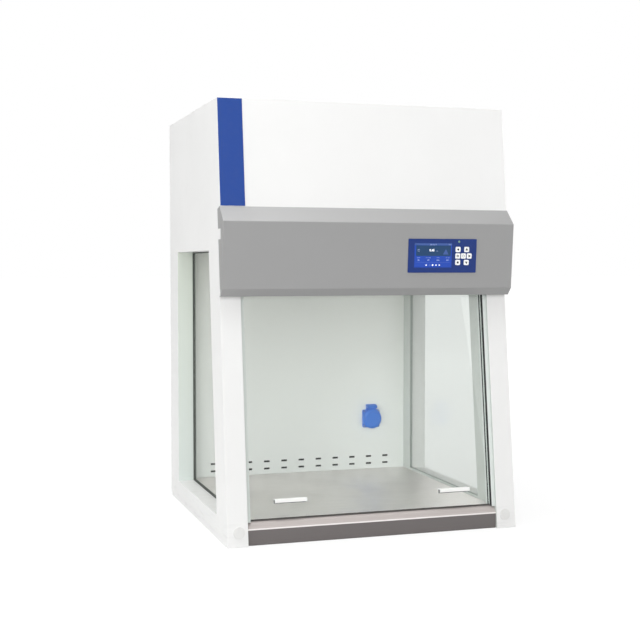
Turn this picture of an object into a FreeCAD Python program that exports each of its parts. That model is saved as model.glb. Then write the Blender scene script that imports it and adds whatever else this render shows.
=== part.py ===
import FreeCAD, Part
import math
import os

from FreeCAD import Vector

# Frame: millimetres, X to the right, Y to the back, Z up.
# The origin is the centre of the footprint on the surface that the cabinet stands on.

# Overall cabinet. Below, a DROP is measured down from the top, an INSET in from the side
# and a REACH forward from the leaning front plane of the columns.
WIDTH = 700.0
DEPTH = 660.0
HEIGHT = 995.0
LEAN = 0.12
SHEET = 1.5
GAP = 0.3
SCREW_HEAD = 2.0
REAR_CHAMFER = 12.0

# Hollow side walls and their windows
WALL = 47.5
HOUSING_STEP = 30.0
STEP_TOP_DROP = 395.0
STEP_BOTTOM_DROP = 442.0
WINDOW_BOTTOM_Z = 53.7
WINDOW_TOP_DROP = 340.1
WINDOW_REAR_MARGIN = 106.3
WINDOW_FRONT_DEPTH = 100.5
GASKET_WIDTH = 3.0
GASKET_DEPTH = 6.5
WINDOW_GLASS = 4.0
GLASS_GRIP = 2.0

# Worktop, lip and base
WORKTOP_Z = 51.3
WORKTOP_FLANGE = 18.0
LIP_FACE_DEPTH = 9.0
LIP_SHOULDER_DEPTH = 20.0
LIP_SHOULDER_RADIUS = 16.0
LIP_CREASE_Z = 36.0
LIP_CREASE_RADIUS = 3.0
LIP_RETURN = 20.0
LIP_TOP_REAR_DEPTH = 40.0
FOLD_RADIUS = 2.5

# Chamber back wall with its two rows of air slots
BACK_SPACE = 63.7
SLOT_COLUMNS = 11
SLOT_ROWS = 2
SLOT_MARGIN = 56.0
SLOT_WIDTH = 16.0
SLOT_HEIGHT = 5.0
SLOT_ROW_Z = 66.3
SLOT_ROW_PITCH = 19.7

# Upper front panel and its trim strip
FRONT_PANEL_DROP = 295.0
FRONT_PANEL_RETURN = 18.0
STRIP_WIDTH = 56.5
STRIP_THICKNESS = 1.0
STRIP_SIDE_MARGIN = 0.5
STRIP_DROP = 242.5

# Console cover: a folded sheet with a cheek on each side
CONSOLE_TOP_DROP = 243.6
CONSOLE_NOSE_DROP = 277.5
CONSOLE_NOSE_REACH = 62.1
CONSOLE_CHIN_DROP = 427.3
CONSOLE_CHIN_REACH = 32.124
CONSOLE_BOTTOM_DROP = 444.0
CONSOLE_BOTTOM_REACH = 14.12
CONSOLE_RETURN = 12.0
CONSOLE_FOLD = 3.0
CHEEK_TOP_REACH = 8.52
CHEEK_TOP_DROP = 249.0
CHEEK_LOW_REACH = 9.0
CHEEK_LOW_DROP = 420.0
NOTCH_DROP = 317.0
NOTCH_HEIGHT = 24.0
NOTCH_REACH = 31.36

# Control panel: sizes in the plane of the console face, from the bezel's centre
PANEL_INSET = 179.0
PANEL_DROP = 352.2
BEZEL_WIDTH = 171.5
BEZEL_HEIGHT = 78.5
BEZEL_THICKNESS = 1.6
BEZEL_CORNER = 1.5
BEZEL_OVERLAP = 3.0
SCREEN_WIDTH = 94.0
SCREEN_HEIGHT = 56.5
SCREEN_X = -23.5
SCREEN_Y = 0.8
SCREEN_RECESS = 0.3
STATUS_X = 41.0
STATUS_Y = 33.0
STATUS_RADIUS = 2.5
STATUS_RISE = 0.6
KEY_SIZE = 12.2
KEY_CORNER = 2.2
KEY_RISE = 1.0
KEY_TRAVEL = 0.8
KEY_FLANGE = 0.9
KEY_FLANGE_THICKNESS = 1.0
KEY_STEM_RADIUS = 1.6
KEY_TOP_Y = 14.9
KEY_ROW_PITCH = 15.1
KEY_OUTER_X = (38.6, 60.5)
KEY_MIDDLE_X = (38.3, 52.8, 67.5)
BOARD_WIDTH = 160.0
BOARD_HEIGHT = 67.0
BOARD_THICKNESS = 1.6
BOARD_DEPTH = 12.0
SWITCH_SIZE = 6.0
SWITCH_HEIGHT = 5.0

# Sash: depths are measured square to the leaning front plane
SASH_FRONT_DEPTH = 19.0
SASH_GLASS = 5.0
SASH_EDGE_GAP = 3.5
SASH_TOP_DROP = 395.0
SASH_SEAL_LIP = 1.0
SASH_SEAL_HEIGHT = 2.5
SASH_TRAVEL = 355.0
HANDLE_LENGTH = 75.0
HANDLE_INSET = 102.5
HANDLE_TOP_Z = 100.0
HANDLE_DEPTH = 14.5
HANDLE_FRONT_LEG = 8.5
HANDLE_REAR_LEG = 11.0
HANDLE_WALL = 2.2
HANDLE_ROUND = 0.8
HANDLE_NOSE_ROUND = 1.6

# Guide rails
RAIL_REACH = 8.1
RAIL_FRONT_DEPTH = 6.5
RAIL_REAR_DEPTH = 40.5
RAIL_WALL = 2.0
RAIL_CLEARANCE = 0.5
RAIL_SEAL_INSET = 2.5
REAR_SEAL_SETBACK = 2.5
REAR_SEAL = 6.0
RAIL_SPARE = 9.5

# Round caps at the foot of the columns
CAP_RADIUS = 13.0
CAP_INSET = 27.0
CAP_Z = 32.0
CAP_RISE = 2.0

# Air space above the chamber
CEILING_DROP = 305.0
BAFFLE_DEPTH = 48.0
BAFFLE_DROP = 340.0
DIFFUSER_COLUMNS = 3
DIFFUSER_ROWS = 20
DIFFUSER_RIM = 22.0
DIFFUSER_BAR = 6.0
FILTER_HEIGHT = 69.0
FILTER_WALL = 12.0
PLEAT_PITCH = 22.0
PLEAT_WALL = 3.0
SUPPLY_SIDE_GAP = 2.5
SUPPLY_FRONT_GAP = 15.54
EXHAUST_SIZE = 270.0
EXHAUST_INSET = 147.5
EXHAUST_REAR_INSET = 186.3
GRILLE_SIZE = 236.0
GRILLE_SLOTS = 14
GRILLE_BANKS = 3
GRILLE_RIM = 12.0
GRILLE_BAR = 6.0

# Blower: centre and sizes in the plane of the back wall
BLOWER_INSET = 162.5
BLOWER_DROP = 118.0
SCROLL_RADIUS = 78.0
SCROLL_GROWTH = 9.0
SCROLL_WIDTH = 84.0
OUTLET_REACH = 118.0
OUTLET_HEIGHT = 74.0
INLET_RADIUS = 54.0
IMPELLER_RADIUS = 70.0
IMPELLER_START = 8.0
IMPELLER_WIDTH = 66.0
IMPELLER_DISC = 2.0
BLADE_COUNT = 20
BLADE_INNER_RADIUS = 57.0
BLADE_THICKNESS = 1.2
BLADE_BULGE = 2.4
BLADE_SWEEP = 9.0
HUB_RADIUS = 12.0
HUB_LENGTH = 16.0
SHAFT_RADIUS = 4.0
SHAFT_CLEARANCE = 0.1
MOTOR_RADIUS = 42.0
MOTOR_LENGTH = 58.0
MOTOR_FLANGE_RADIUS = 50.0
MOTOR_FLANGE = 3.0
MOTOR_PORT_RADIUS = 20.0

# Lamps: tubes of the common 26 mm size
TUBE_RADIUS = 13.0
TUBE_LENGTH = 437.4
TUBE_CAP_LENGTH = 8.0
LAMP_DROP = 324.0
LAMP_STANDOFF = 20.0
HOLDER_WIDTH = 12.0
HOLDER_HEIGHT = 30.0

# Socket on the back wall: sizes in the plane of the wall
SOCKET_INSET = 99.2
SOCKET_Z = 192.7
SOCKET_PLATE = 50.0
SOCKET_PLATE_THICKNESS = 4.0
SOCKET_CORNER = 4.0
COLLAR_RADIUS = 22.0
COLLAR_TOP = 12.0
WELL_RADIUS = 19.5
WELL_BOTTOM = -6.0
CAN_RADIUS = 21.5
CAN_DEPTH = 24.0
CAN_CLEARANCE = 0.5
CONTACT_RADIUS = 2.5
CONTACT_SPACING = 19.0
CONTACT_DEPTH = 12.0
LID_RADIUS = 27.0
LID_WALL = 2.0
LID_SKIRT_TOP = 13.0
LID_DOME = 4.0
LID_CROWN_RADIUS = 19.44
LID_ARM_START = 24.3
HINGE_UP = 33.0
HINGE_OUT = 9.0
HINGE_TOP = 39.5
HINGE_WIDTH = 29.0
EAR_WIDTH = 4.5
KNUCKLE_RADIUS = 4.5
PIN_RADIUS = 1.5
PIN_CLEARANCE = 0.1
SOCKET_SCREW_OFFSET = 21.3
SOCKET_SCREW_RADIUS = 2.0
SOCKET_SCREW_RISE = 1.2
LID_ARM_WIDTH = 19.0

# Rear panel fittings
REAR_SCREW_ACROSS = 7.0
REAR_SCREW_MARGIN = 14.0
REAR_SCREW_COLUMNS = 4
REAR_SCREW_ROWS = 5
INLET_INSET = 100.0
INLET_DROP = 175.0
INLET_PLATE_WIDTH = 33.0
INLET_PLATE_HEIGHT = 58.0
INLET_PLATE = 2.0
INLET_BODY_DEPTH = 26.0
INLET_WALL = 2.5
INLET_WELL_HEIGHT = 17.0
INLET_WELL_DEPTH = 16.0
INLET_WELL_Y = 11.0
INLET_PIN_LENGTH = 11.0
INLET_PIN_WIDTH = 2.0
INLET_PIN_HEIGHT = 4.0
INLET_PIN_PITCH = 7.0
DRAWER_Y = -15.0
DRAWER_WIDTH = 22.0
DRAWER_HEIGHT = 10.0
DRAWER_DEPTH = 20.0

# Worked out from the sizes above
FRONT_Y = -DEPTH / 2
REAR_Y = DEPTH / 2 - SCREW_HEAD
SIDE_REAR_Y = REAR_Y - SHEET
HALF_WIDTH = WIDTH / 2
INNER_X = HALF_WIDTH - WALL
ROOF_Z = HEIGHT - SHEET
BACK_WALL_Y = DEPTH / 2 - BACK_SPACE
WINDOW_REAR_Y = DEPTH / 2 - WINDOW_REAR_MARGIN
STEP_TOP_Z = HEIGHT - STEP_TOP_DROP
STEP_BOTTOM_Z = HEIGHT - STEP_BOTTOM_DROP
WINDOW_TOP_Z = HEIGHT - WINDOW_TOP_DROP
FRONT_PANEL_BOTTOM_Z = HEIGHT - FRONT_PANEL_DROP
STRIP_BOTTOM_Z = HEIGHT - STRIP_DROP
CONSOLE_TOP_Z = HEIGHT - CONSOLE_TOP_DROP
CONSOLE_NOSE_Z = HEIGHT - CONSOLE_NOSE_DROP
CONSOLE_CHIN_Z = HEIGHT - CONSOLE_CHIN_DROP
CONSOLE_BOTTOM_Z = HEIGHT - CONSOLE_BOTTOM_DROP
CHEEK_TOP_Z = HEIGHT - CHEEK_TOP_DROP
CHEEK_LOW_Z = HEIGHT - CHEEK_LOW_DROP
NOTCH_LOW_Z = HEIGHT - NOTCH_DROP
PANEL_X = HALF_WIDTH - PANEL_INSET
PANEL_Z = HEIGHT - PANEL_DROP
SASH_HALF_WIDTH = INNER_X - SASH_EDGE_GAP
SASH_TOP_Z = HEIGHT - SASH_TOP_DROP
HANDLE_X = INNER_X - HANDLE_INSET
CAP_X = HALF_WIDTH - CAP_INSET
CEILING_Z = HEIGHT - CEILING_DROP
BAFFLE_BOTTOM_Z = HEIGHT - BAFFLE_DROP
LAMP_Z = HEIGHT - LAMP_DROP
EXHAUST_X = INNER_X - EXHAUST_INSET
EXHAUST_Y = BACK_WALL_Y - EXHAUST_REAR_INSET
BLOWER_X = BLOWER_INSET - INNER_X
BLOWER_Z = HEIGHT - BLOWER_DROP
SOCKET_X = INNER_X - SOCKET_INSET
INLET_X = INLET_INSET - HALF_WIDTH
INLET_Z = HEIGHT - INLET_DROP
SLOT_PITCH = 2 * (INNER_X - SLOT_MARGIN) / (SLOT_COLUMNS - 1)
SLOPE = math.hypot(1.0, LEAN)
ALONG_Y = LEAN / SLOPE
ALONG_Z = 1.0 / SLOPE
LEAN_UP = Vector(0, ALONG_Y, ALONG_Z)
SASH_REAR_DEPTH = SASH_FRONT_DEPTH + SASH_GLASS
RAIL_SLOT_FRONT = SASH_FRONT_DEPTH - RAIL_CLEARANCE
RAIL_SLOT_REAR = SASH_REAR_DEPTH + RAIL_CLEARANCE
RAIL_TOP_Z = SASH_TOP_Z + SASH_TRAVEL * ALONG_Z + RAIL_SPARE
RIGHT = Vector(1, 0, 0)
UP = Vector(0, 0, 1)


def leaning_y(z, depth=0.0):
    """Y of the plane that lies `depth` behind the leaning column front, at height z."""
    return FRONT_Y + LEAN * z + depth


def block(x0, x1, y0, y1, z0, z1):
    """Box between two corners."""
    return Part.makeBox(x1 - x0, y1 - y0, z1 - z0, Vector(x0, y0, z0))


def prism(points, x0, x1):
    """Closed (y, z) outline extruded along X."""
    corners = [Vector(x0, y, z) for y, z in points]
    face = Part.Face(Part.makePolygon(corners + corners[:1]))
    return face.extrude(Vector(x1 - x0, 0, 0))


def rounded_face(corners):
    """Face in the plane x = 0 through (y, z, radius) corners, each rounded by a tangent arc."""
    points = [Vector(0, y, z) for y, z, radius in corners]
    bends = []
    for index, here in enumerate(points):
        to_before = (points[index - 1] - here).normalize()
        to_after = (points[(index + 1) % len(points)] - here).normalize()
        half_angle = to_before.getAngle(to_after) / 2
        radius = corners[index][2]
        reach = radius / math.tan(half_angle)
        bisector = (to_before + to_after).normalize() if radius > 0 else Vector()
        middle = here + bisector * (radius / math.sin(half_angle) - radius)
        bends.append((here + to_before * reach, middle, here + to_after * reach))
    edges = []
    for index, (start, middle, end) in enumerate(bends):
        if corners[index][2] > 0:
            edges.append(Part.Arc(start, middle, end).toShape())
        following = bends[(index + 1) % len(bends)][0]
        edges.append(Part.LineSegment(end, following).toShape())
    return Part.Face(Part.Wire(edges))


def folded_sheet(path, thickness, x0, x1):
    """Sheet folded along a (y, z, radius) path of its outer face, its wall on the path's left."""
    headings = []
    for (y0, z0, _), (y1, z1, _) in zip(path, path[1:]):
        headings.append(Vector(0, y1 - y0, z1 - z0).normalize())
    inner = []
    for index, (y, z, radius) in enumerate(path):
        before = headings[max(index - 1, 0)]
        after = headings[min(index, len(headings) - 1)]
        left_before = Vector(0, -before.z, before.y)
        left_after = Vector(0, -after.z, after.y)
        shift = (left_before + left_after) * (thickness / (1 + left_before.dot(left_after)))
        turns_left = before.y * after.z - before.z * after.y > 0
        inner_radius = max(radius - thickness, 0.0) if turns_left else radius + thickness
        inner.append((y + shift.y, z + shift.z, inner_radius if radius > 0 else 0.0))
    face = rounded_face(list(path) + inner[::-1])
    face.translate(Vector(x0, 0, 0))
    return face.extrude(Vector(x1 - x0, 0, 0))


def facing(origin, right, up):
    """Placement of a local frame whose Z axis points out of a face, X to the right and Y up it."""
    out = right.cross(up)
    return FreeCAD.Placement(
        FreeCAD.Matrix(
            right.x, up.x, out.x, origin.x,
            right.y, up.y, out.y, origin.y,
            right.z, up.z, out.z, origin.z,
        )
    )


def placed(shape, frame):
    """Copy of a shape that was drawn in a local frame, set in its place."""
    copy = shape.copy()
    copy.Placement = frame.multiply(copy.Placement)
    return copy


def mirrored(shape):
    """The other side's piece."""
    return shape.mirror(Vector(), RIGHT)


def plate(width, height, thickness, corner, bottom=0.0):
    """Plate in a local frame, centred, with rounded corners, its back face at `bottom`."""
    sheet = Part.makeBox(width, height, thickness, Vector(-width / 2, -height / 2, bottom))
    if corner > 0:
        uprights = [e for e in sheet.Edges if abs(e.tangentAt(e.FirstParameter).z) > 0.9]
        sheet = sheet.makeFillet(corner, uprights)
    return sheet


def disc(radius, height, x=0.0, y=0.0, bottom=0.0):
    """Cylinder along a local frame's Z axis."""
    return Part.makeCylinder(radius, height, Vector(x, y, bottom))


def hexagon(across, height):
    """Hexagonal prism along a local frame's Z axis, `across` being the distance between its flats."""
    radius = across / math.sqrt(3)
    angles = [math.radians(60 * corner) for corner in range(6)]
    corners = [Vector(radius * math.cos(a), radius * math.sin(a), 0) for a in angles]
    face = Part.Face(Part.makePolygon(corners + corners[:1]))
    return face.extrude(Vector(0, 0, height))


def revolved(profile):
    """Solid turned about a local frame's Z axis from (radius, height) points."""
    points = [Vector(radius, 0, height) for radius, height in profile]
    face = Part.Face(Part.makePolygon(points + points[:1]))
    return face.revolve(Vector(), Vector(0, 0, 1), 360)


FRONT_FRAME = facing(Vector(0, FRONT_Y, 0), RIGHT, LEAN_UP)
NOSE_Y = leaning_y(CONSOLE_NOSE_Z, -CONSOLE_NOSE_REACH)
CHIN_Y = leaning_y(CONSOLE_CHIN_Z, -CONSOLE_CHIN_REACH)
CONSOLE_TILT = (CHIN_Y - NOSE_Y) / (CONSOLE_NOSE_Z - CONSOLE_CHIN_Z)
PANEL_Y = NOSE_Y + CONSOLE_TILT * (CONSOLE_NOSE_Z - PANEL_Z)
PANEL_FRAME = facing(Vector(PANEL_X, PANEL_Y, PANEL_Z), RIGHT, Vector(0, -CONSOLE_TILT, 1).normalize())
SOCKET_FRAME = facing(Vector(SOCKET_X, BACK_WALL_Y, SOCKET_Z), RIGHT, UP)
BLOWER_FRAME = facing(Vector(BLOWER_X, BACK_WALL_Y, BLOWER_Z), RIGHT, UP)
INLET_FRAME = facing(Vector(INLET_X, REAR_Y, INLET_Z), Vector(-1, 0, 0), UP)


def side_outline(inset=0.0):
    """Outline of a side wall: the lower rear corner is cut, the upper front stands forward."""
    housing = SHEET * SLOPE - HOUSING_STEP
    steep = inset * SLOPE
    return [
        (leaning_y(inset, steep), inset),
        (SIDE_REAR_Y - REAR_CHAMFER - inset * math.tan(math.pi / 8), inset),
        (SIDE_REAR_Y - inset, REAR_CHAMFER + inset * math.tan(math.pi / 8)),
        (SIDE_REAR_Y - inset, ROOF_Z - inset),
        (leaning_y(ROOF_Z - inset, housing + steep), ROOF_Z - inset),
        (leaning_y(STEP_TOP_Z, housing + steep), STEP_TOP_Z),
        (leaning_y(STEP_BOTTOM_Z, steep), STEP_BOTTOM_Z),
    ]


def window_outline(inset=0.0):
    """Outline of a side window: its front edge leans like the column."""
    low = WINDOW_BOTTOM_Z + inset
    high = WINDOW_TOP_Z - inset
    rear = WINDOW_REAR_Y - inset
    front = WINDOW_FRONT_DEPTH + inset * SLOPE
    return [(leaning_y(low, front), low), (rear, low), (rear, high), (leaning_y(high, front), high)]


def side_panel():
    """Right outer sheet: flanges all round, the front one being the column, and a window reveal."""
    pan = prism(side_outline(), INNER_X, HALF_WIDTH)
    pan = pan.cut(prism(side_outline(SHEET), INNER_X, HALF_WIDTH - SHEET))
    reveal = prism(window_outline(-SHEET), INNER_X + SHEET, HALF_WIDTH)
    return pan.fuse(reveal).cut(prism(window_outline(), INNER_X, HALF_WIDTH)).removeSplitter()


def inner_liner():
    """Right chamber side sheet inside the side panel's flanges; its lip hides the gasket."""
    sheet = prism(side_outline(SHEET), INNER_X, INNER_X + SHEET)
    return sheet.cut(prism(window_outline(GASKET_WIDTH), INNER_X, INNER_X + SHEET))


def window_glass():
    """Right window pane, held all round in the gasket's groove."""
    start = INNER_X + SHEET + (GASKET_DEPTH - WINDOW_GLASS) / 2
    return prism(window_outline(GASKET_WIDTH - GLASS_GRIP), start, start + WINDOW_GLASS)


def window_gasket():
    """Right window gasket: a rubber frame with a groove for the pane."""
    start = INNER_X + SHEET
    ring = prism(window_outline(), start, start + GASKET_DEPTH)
    ring = ring.cut(prism(window_outline(GASKET_WIDTH), start, start + GASKET_DEPTH))
    return ring.cut(window_glass())


def front_lip():
    """Stainless lip in front of the worktop, folded from one sheet."""
    path = [
        (FRONT_Y + LIP_TOP_REAR_DEPTH, WORKTOP_Z, 0.0),
        (FRONT_Y + LIP_SHOULDER_DEPTH, WORKTOP_Z, LIP_SHOULDER_RADIUS),
        (FRONT_Y + LIP_FACE_DEPTH, LIP_CREASE_Z, LIP_CREASE_RADIUS),
        (FRONT_Y + LIP_FACE_DEPTH, 0.0, FOLD_RADIUS),
        (FRONT_Y + LIP_FACE_DEPTH + LIP_RETURN, 0.0, 0.0),
    ]
    return folded_sheet(path, SHEET, -INNER_X, INNER_X)


def base_pan():
    """Open tray that joins the side walls at the bottom and carries the worktop on its rim."""
    front = FRONT_Y + LIP_FACE_DEPTH + LIP_RETURN
    rear = SIDE_REAR_Y - REAR_CHAMFER - SHEET
    tray = block(-INNER_X, INNER_X, front, rear, 0, WORKTOP_Z - SHEET)
    hollow = block(-INNER_X + SHEET, INNER_X - SHEET, front + SHEET, rear - SHEET, SHEET, WORKTOP_Z)
    return tray.cut(hollow)


def worktop():
    """Stainless worktop with folded-down edges inside the base pan's rim."""
    front = FRONT_Y + LIP_TOP_REAR_DEPTH
    rear = BACK_WALL_Y + SHEET
    inset = SHEET + GAP
    under = WORKTOP_Z - SHEET
    top = block(-INNER_X, INNER_X, front, rear, under, WORKTOP_Z)
    skirt = block(-INNER_X + inset, INNER_X - inset, front, rear, WORKTOP_Z - WORKTOP_FLANGE, under)
    hollow = block(
        -INNER_X + inset + SHEET, INNER_X - inset - SHEET,
        front + SHEET, rear - SHEET,
        WORKTOP_Z - WORKTOP_FLANGE, under,
    )
    return top.fuse(skirt.cut(hollow)).removeSplitter()


def interior_back_wall():
    """Back sheet of the chamber and of the air space above it, with slots, socket and blower holes."""
    wall = block(-INNER_X, INNER_X, BACK_WALL_Y, BACK_WALL_Y + SHEET, WORKTOP_Z, ROOF_Z)
    holes = []
    for column in range(SLOT_COLUMNS):
        x = (column - (SLOT_COLUMNS - 1) / 2) * SLOT_PITCH
        for row in range(SLOT_ROWS):
            z = SLOT_ROW_Z + row * SLOT_ROW_PITCH
            holes.append(block(
                x - SLOT_WIDTH / 2, x + SLOT_WIDTH / 2,
                BACK_WALL_Y, BACK_WALL_Y + SHEET,
                z - SLOT_HEIGHT / 2, z + SLOT_HEIGHT / 2,
            ))
    holes.append(placed(disc(CAN_RADIUS + CAN_CLEARANCE, SHEET, bottom=-SHEET), SOCKET_FRAME))
    holes.append(placed(disc(INLET_RADIUS, SHEET, bottom=-SHEET), BLOWER_FRAME))
    return wall.cut(holes)


def rear_panel():
    """Outer back sheet with the power inlet's cut-out and a sloping lower flange."""
    cover = block(-HALF_WIDTH, HALF_WIDTH, SIDE_REAR_Y, REAR_Y, REAR_CHAMFER, ROOF_Z)
    flange_path = [
        (SIDE_REAR_Y - REAR_CHAMFER, 0.0, 0.0),
        (SIDE_REAR_Y, REAR_CHAMFER, 0.0),
        (SIDE_REAR_Y, REAR_CHAMFER + WALL, 0.0),
    ]
    flange = folded_sheet(flange_path, SHEET, -INNER_X, INNER_X)
    width = INLET_PLATE_WIDTH - 2 * INLET_WALL
    cutout = plate(width, INLET_PLATE_HEIGHT - 2 * INLET_WALL, SHEET, 0, -SHEET)
    return cover.fuse(flange).cut(placed(cutout, INLET_FRAME)).removeSplitter()


def rear_panel_screws():
    """Hexagonal screw heads round the edge of the rear panel."""
    x_reach = HALF_WIDTH - REAR_SCREW_MARGIN
    z_low = REAR_CHAMFER + REAR_SCREW_MARGIN
    z_high = ROOF_Z - REAR_SCREW_MARGIN
    places = []
    for column in range(REAR_SCREW_COLUMNS):
        x = -x_reach + 2 * x_reach * column / (REAR_SCREW_COLUMNS - 1)
        places += [(x, z_low), (x, z_high)]
    for row in range(1, REAR_SCREW_ROWS):
        z = z_low + (z_high - z_low) * row / REAR_SCREW_ROWS
        places += [(-x_reach, z), (x_reach, z)]
    head = hexagon(REAR_SCREW_ACROSS, SCREW_HEAD)
    heads = [placed(head, facing(Vector(x, REAR_Y, z), Vector(-1, 0, 0), UP)) for x, z in places]
    return Part.makeCompound(heads)


def top_panel():
    """Roof sheet with the opening for the exhaust grille."""
    front = leaning_y(HEIGHT, -HOUSING_STEP)
    roof = prism(
        [(front, HEIGHT), (REAR_Y, HEIGHT), (REAR_Y, ROOF_Z), (leaning_y(ROOF_Z, -HOUSING_STEP), ROOF_Z)],
        -HALF_WIDTH, HALF_WIDTH,
    )
    reach = GRILLE_SIZE / 2 + GAP
    return roof.cut(block(
        EXHAUST_X - reach, EXHAUST_X + reach,
        EXHAUST_Y - reach, EXHAUST_Y + reach,
        ROOF_Z, HEIGHT,
    ))


def slotted_plate(width, depth, thickness, columns, rows, rim, bar):
    """Flat grille, centred, with columns by rows of rectangular openings."""
    grille = plate(width, depth, thickness, 0)
    open_x = (width - 2 * rim + bar) / columns - bar
    open_y = (depth - 2 * rim + bar) / rows - bar
    openings = []
    for column in range(columns):
        for row in range(rows):
            x = -width / 2 + rim + column * (open_x + bar)
            y = -depth / 2 + rim + row * (open_y + bar)
            openings.append(Part.makeBox(open_x, open_y, thickness, Vector(x, y, 0)))
    return grille.cut(openings)


def exhaust_grille():
    """Slotted grille that lies flush in the roof."""
    grille = slotted_plate(
        GRILLE_SIZE, GRILLE_SIZE, SHEET, GRILLE_BANKS, GRILLE_SLOTS, GRILLE_RIM, GRILLE_BAR
    )
    grille.translate(Vector(EXHAUST_X, EXHAUST_Y, ROOF_Z))
    return grille


def upper_front_panel():
    """Leaning front sheet of the housing, its lower edge turned back behind the console."""
    outer = -HOUSING_STEP
    cover = prism(
        [
            (leaning_y(FRONT_PANEL_BOTTOM_Z, outer), FRONT_PANEL_BOTTOM_Z),
            (leaning_y(FRONT_PANEL_BOTTOM_Z, outer + SHEET * SLOPE), FRONT_PANEL_BOTTOM_Z),
            (leaning_y(ROOF_Z, outer + SHEET * SLOPE), ROOF_Z),
            (leaning_y(ROOF_Z, outer), ROOF_Z),
        ],
        -HALF_WIDTH, HALF_WIDTH,
    )
    start = leaning_y(FRONT_PANEL_BOTTOM_Z, outer)
    turned = block(
        -INNER_X, INNER_X, start + SHEET, start + FRONT_PANEL_RETURN,
        FRONT_PANEL_BOTTOM_Z, FRONT_PANEL_BOTTOM_Z + SHEET,
    )
    return cover.fuse(turned).removeSplitter()


def trim_strip():
    """Plain coloured strip down the left edge of the upper front."""
    low = (STRIP_BOTTOM_Z - HOUSING_STEP * LEAN) * SLOPE
    high = ROOF_Z * SLOPE
    left = -HALF_WIDTH + STRIP_SIDE_MARGIN
    strip = block(left, left + STRIP_WIDTH, low, high, 0, STRIP_THICKNESS)
    strip.translate(Vector(0, 0, HOUSING_STEP / SLOPE))
    strip = placed(strip, FRONT_FRAME)
    return strip.common(block(-WIDTH, WIDTH, -DEPTH, DEPTH, STRIP_BOTTOM_Z, ROOF_Z))


def console_path():
    """Outer face of the console cover from its top edge to its bottom return."""
    bottom = leaning_y(CONSOLE_BOTTOM_Z, -CONSOLE_BOTTOM_REACH)
    return [
        (leaning_y(CONSOLE_TOP_Z, -HOUSING_STEP) - GAP, CONSOLE_TOP_Z, 0.0),
        (NOSE_Y, CONSOLE_NOSE_Z, CONSOLE_FOLD),
        (CHIN_Y, CONSOLE_CHIN_Z, CONSOLE_FOLD),
        (bottom, CONSOLE_BOTTOM_Z, CONSOLE_FOLD),
        (bottom + CONSOLE_RETURN, CONSOLE_BOTTOM_Z, 0.0),
    ]


def console_cheek():
    """Right cheek of the console cover: it laps over the side wall and has a notch behind."""
    folds = console_path()[:4]
    rear = [
        (leaning_y(CHEEK_LOW_Z, -CHEEK_LOW_REACH), CHEEK_LOW_Z, 0.0),
        (leaning_y(CHEEK_TOP_Z, -CHEEK_TOP_REACH), CHEEK_TOP_Z, 0.0),
    ]
    face = rounded_face(folds[:3] + [folds[3][:2] + (0.0,)] + rear)
    face.translate(Vector(HALF_WIDTH, 0, 0))
    cheek = face.extrude(Vector(SHEET, 0, 0))
    notch = block(
        HALF_WIDTH, HALF_WIDTH + SHEET,
        leaning_y(NOTCH_LOW_Z, -NOTCH_REACH), REAR_Y,
        NOTCH_LOW_Z, NOTCH_LOW_Z + NOTCH_HEIGHT,
    )
    return cheek.cut(notch)


def console_cover():
    """Console cover with cheeks, trimmed to the housing front and open behind the bezel."""
    cheek = console_cheek()
    cover = folded_sheet(console_path(), SHEET, -HALF_WIDTH - SHEET, HALF_WIDTH + SHEET)
    cover = cover.fuse([cheek, mirrored(cheek)])
    behind = prism(
        [
            (leaning_y(FRONT_PANEL_BOTTOM_Z, -HOUSING_STEP), FRONT_PANEL_BOTTOM_Z),
            (REAR_Y, FRONT_PANEL_BOTTOM_Z),
            (REAR_Y, HEIGHT),
            (leaning_y(HEIGHT, -HOUSING_STEP), HEIGHT),
        ],
        -HALF_WIDTH, HALF_WIDTH,
    )
    width = BEZEL_WIDTH - 2 * BEZEL_OVERLAP
    port = plate(width, BEZEL_HEIGHT - 2 * BEZEL_OVERLAP, 3 * SHEET, 0, -2 * SHEET)
    return cover.cut([behind, placed(port, PANEL_FRAME)]).removeSplitter()


def key_places():
    """Key centres in the panel frame: rows of two, three and two."""
    rows = (KEY_OUTER_X, KEY_MIDDLE_X, KEY_OUTER_X)
    return [(x, KEY_TOP_Y - row * KEY_ROW_PITCH) for row, xs in enumerate(rows) for x in xs]


def control_bezel():
    """Bezel plate with the windows for the screen, the keys and the status lamp."""
    bezel = plate(BEZEL_WIDTH, BEZEL_HEIGHT, BEZEL_THICKNESS, BEZEL_CORNER)
    screen = plate(SCREEN_WIDTH + 2 * GAP, SCREEN_HEIGHT + 2 * GAP, BEZEL_THICKNESS, 0)
    screen.translate(Vector(SCREEN_X, SCREEN_Y, 0))
    holes = [screen, disc(STATUS_RADIUS + GAP, BEZEL_THICKNESS, STATUS_X, STATUS_Y)]
    for x, y in key_places():
        hole = plate(KEY_SIZE + 2 * GAP, KEY_SIZE + 2 * GAP, BEZEL_THICKNESS, KEY_CORNER + GAP)
        hole.translate(Vector(x, y, 0))
        holes.append(hole)
    return placed(bezel.cut(holes), PANEL_FRAME)


def display_module():
    """Screen block that fills the bezel's window and stands on the control board."""
    height = BOARD_DEPTH + BEZEL_THICKNESS - SCREEN_RECESS
    module = plate(SCREEN_WIDTH, SCREEN_HEIGHT, height, 0, -BOARD_DEPTH)
    module.translate(Vector(SCREEN_X, SCREEN_Y, 0))
    return placed(module, PANEL_FRAME)


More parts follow.
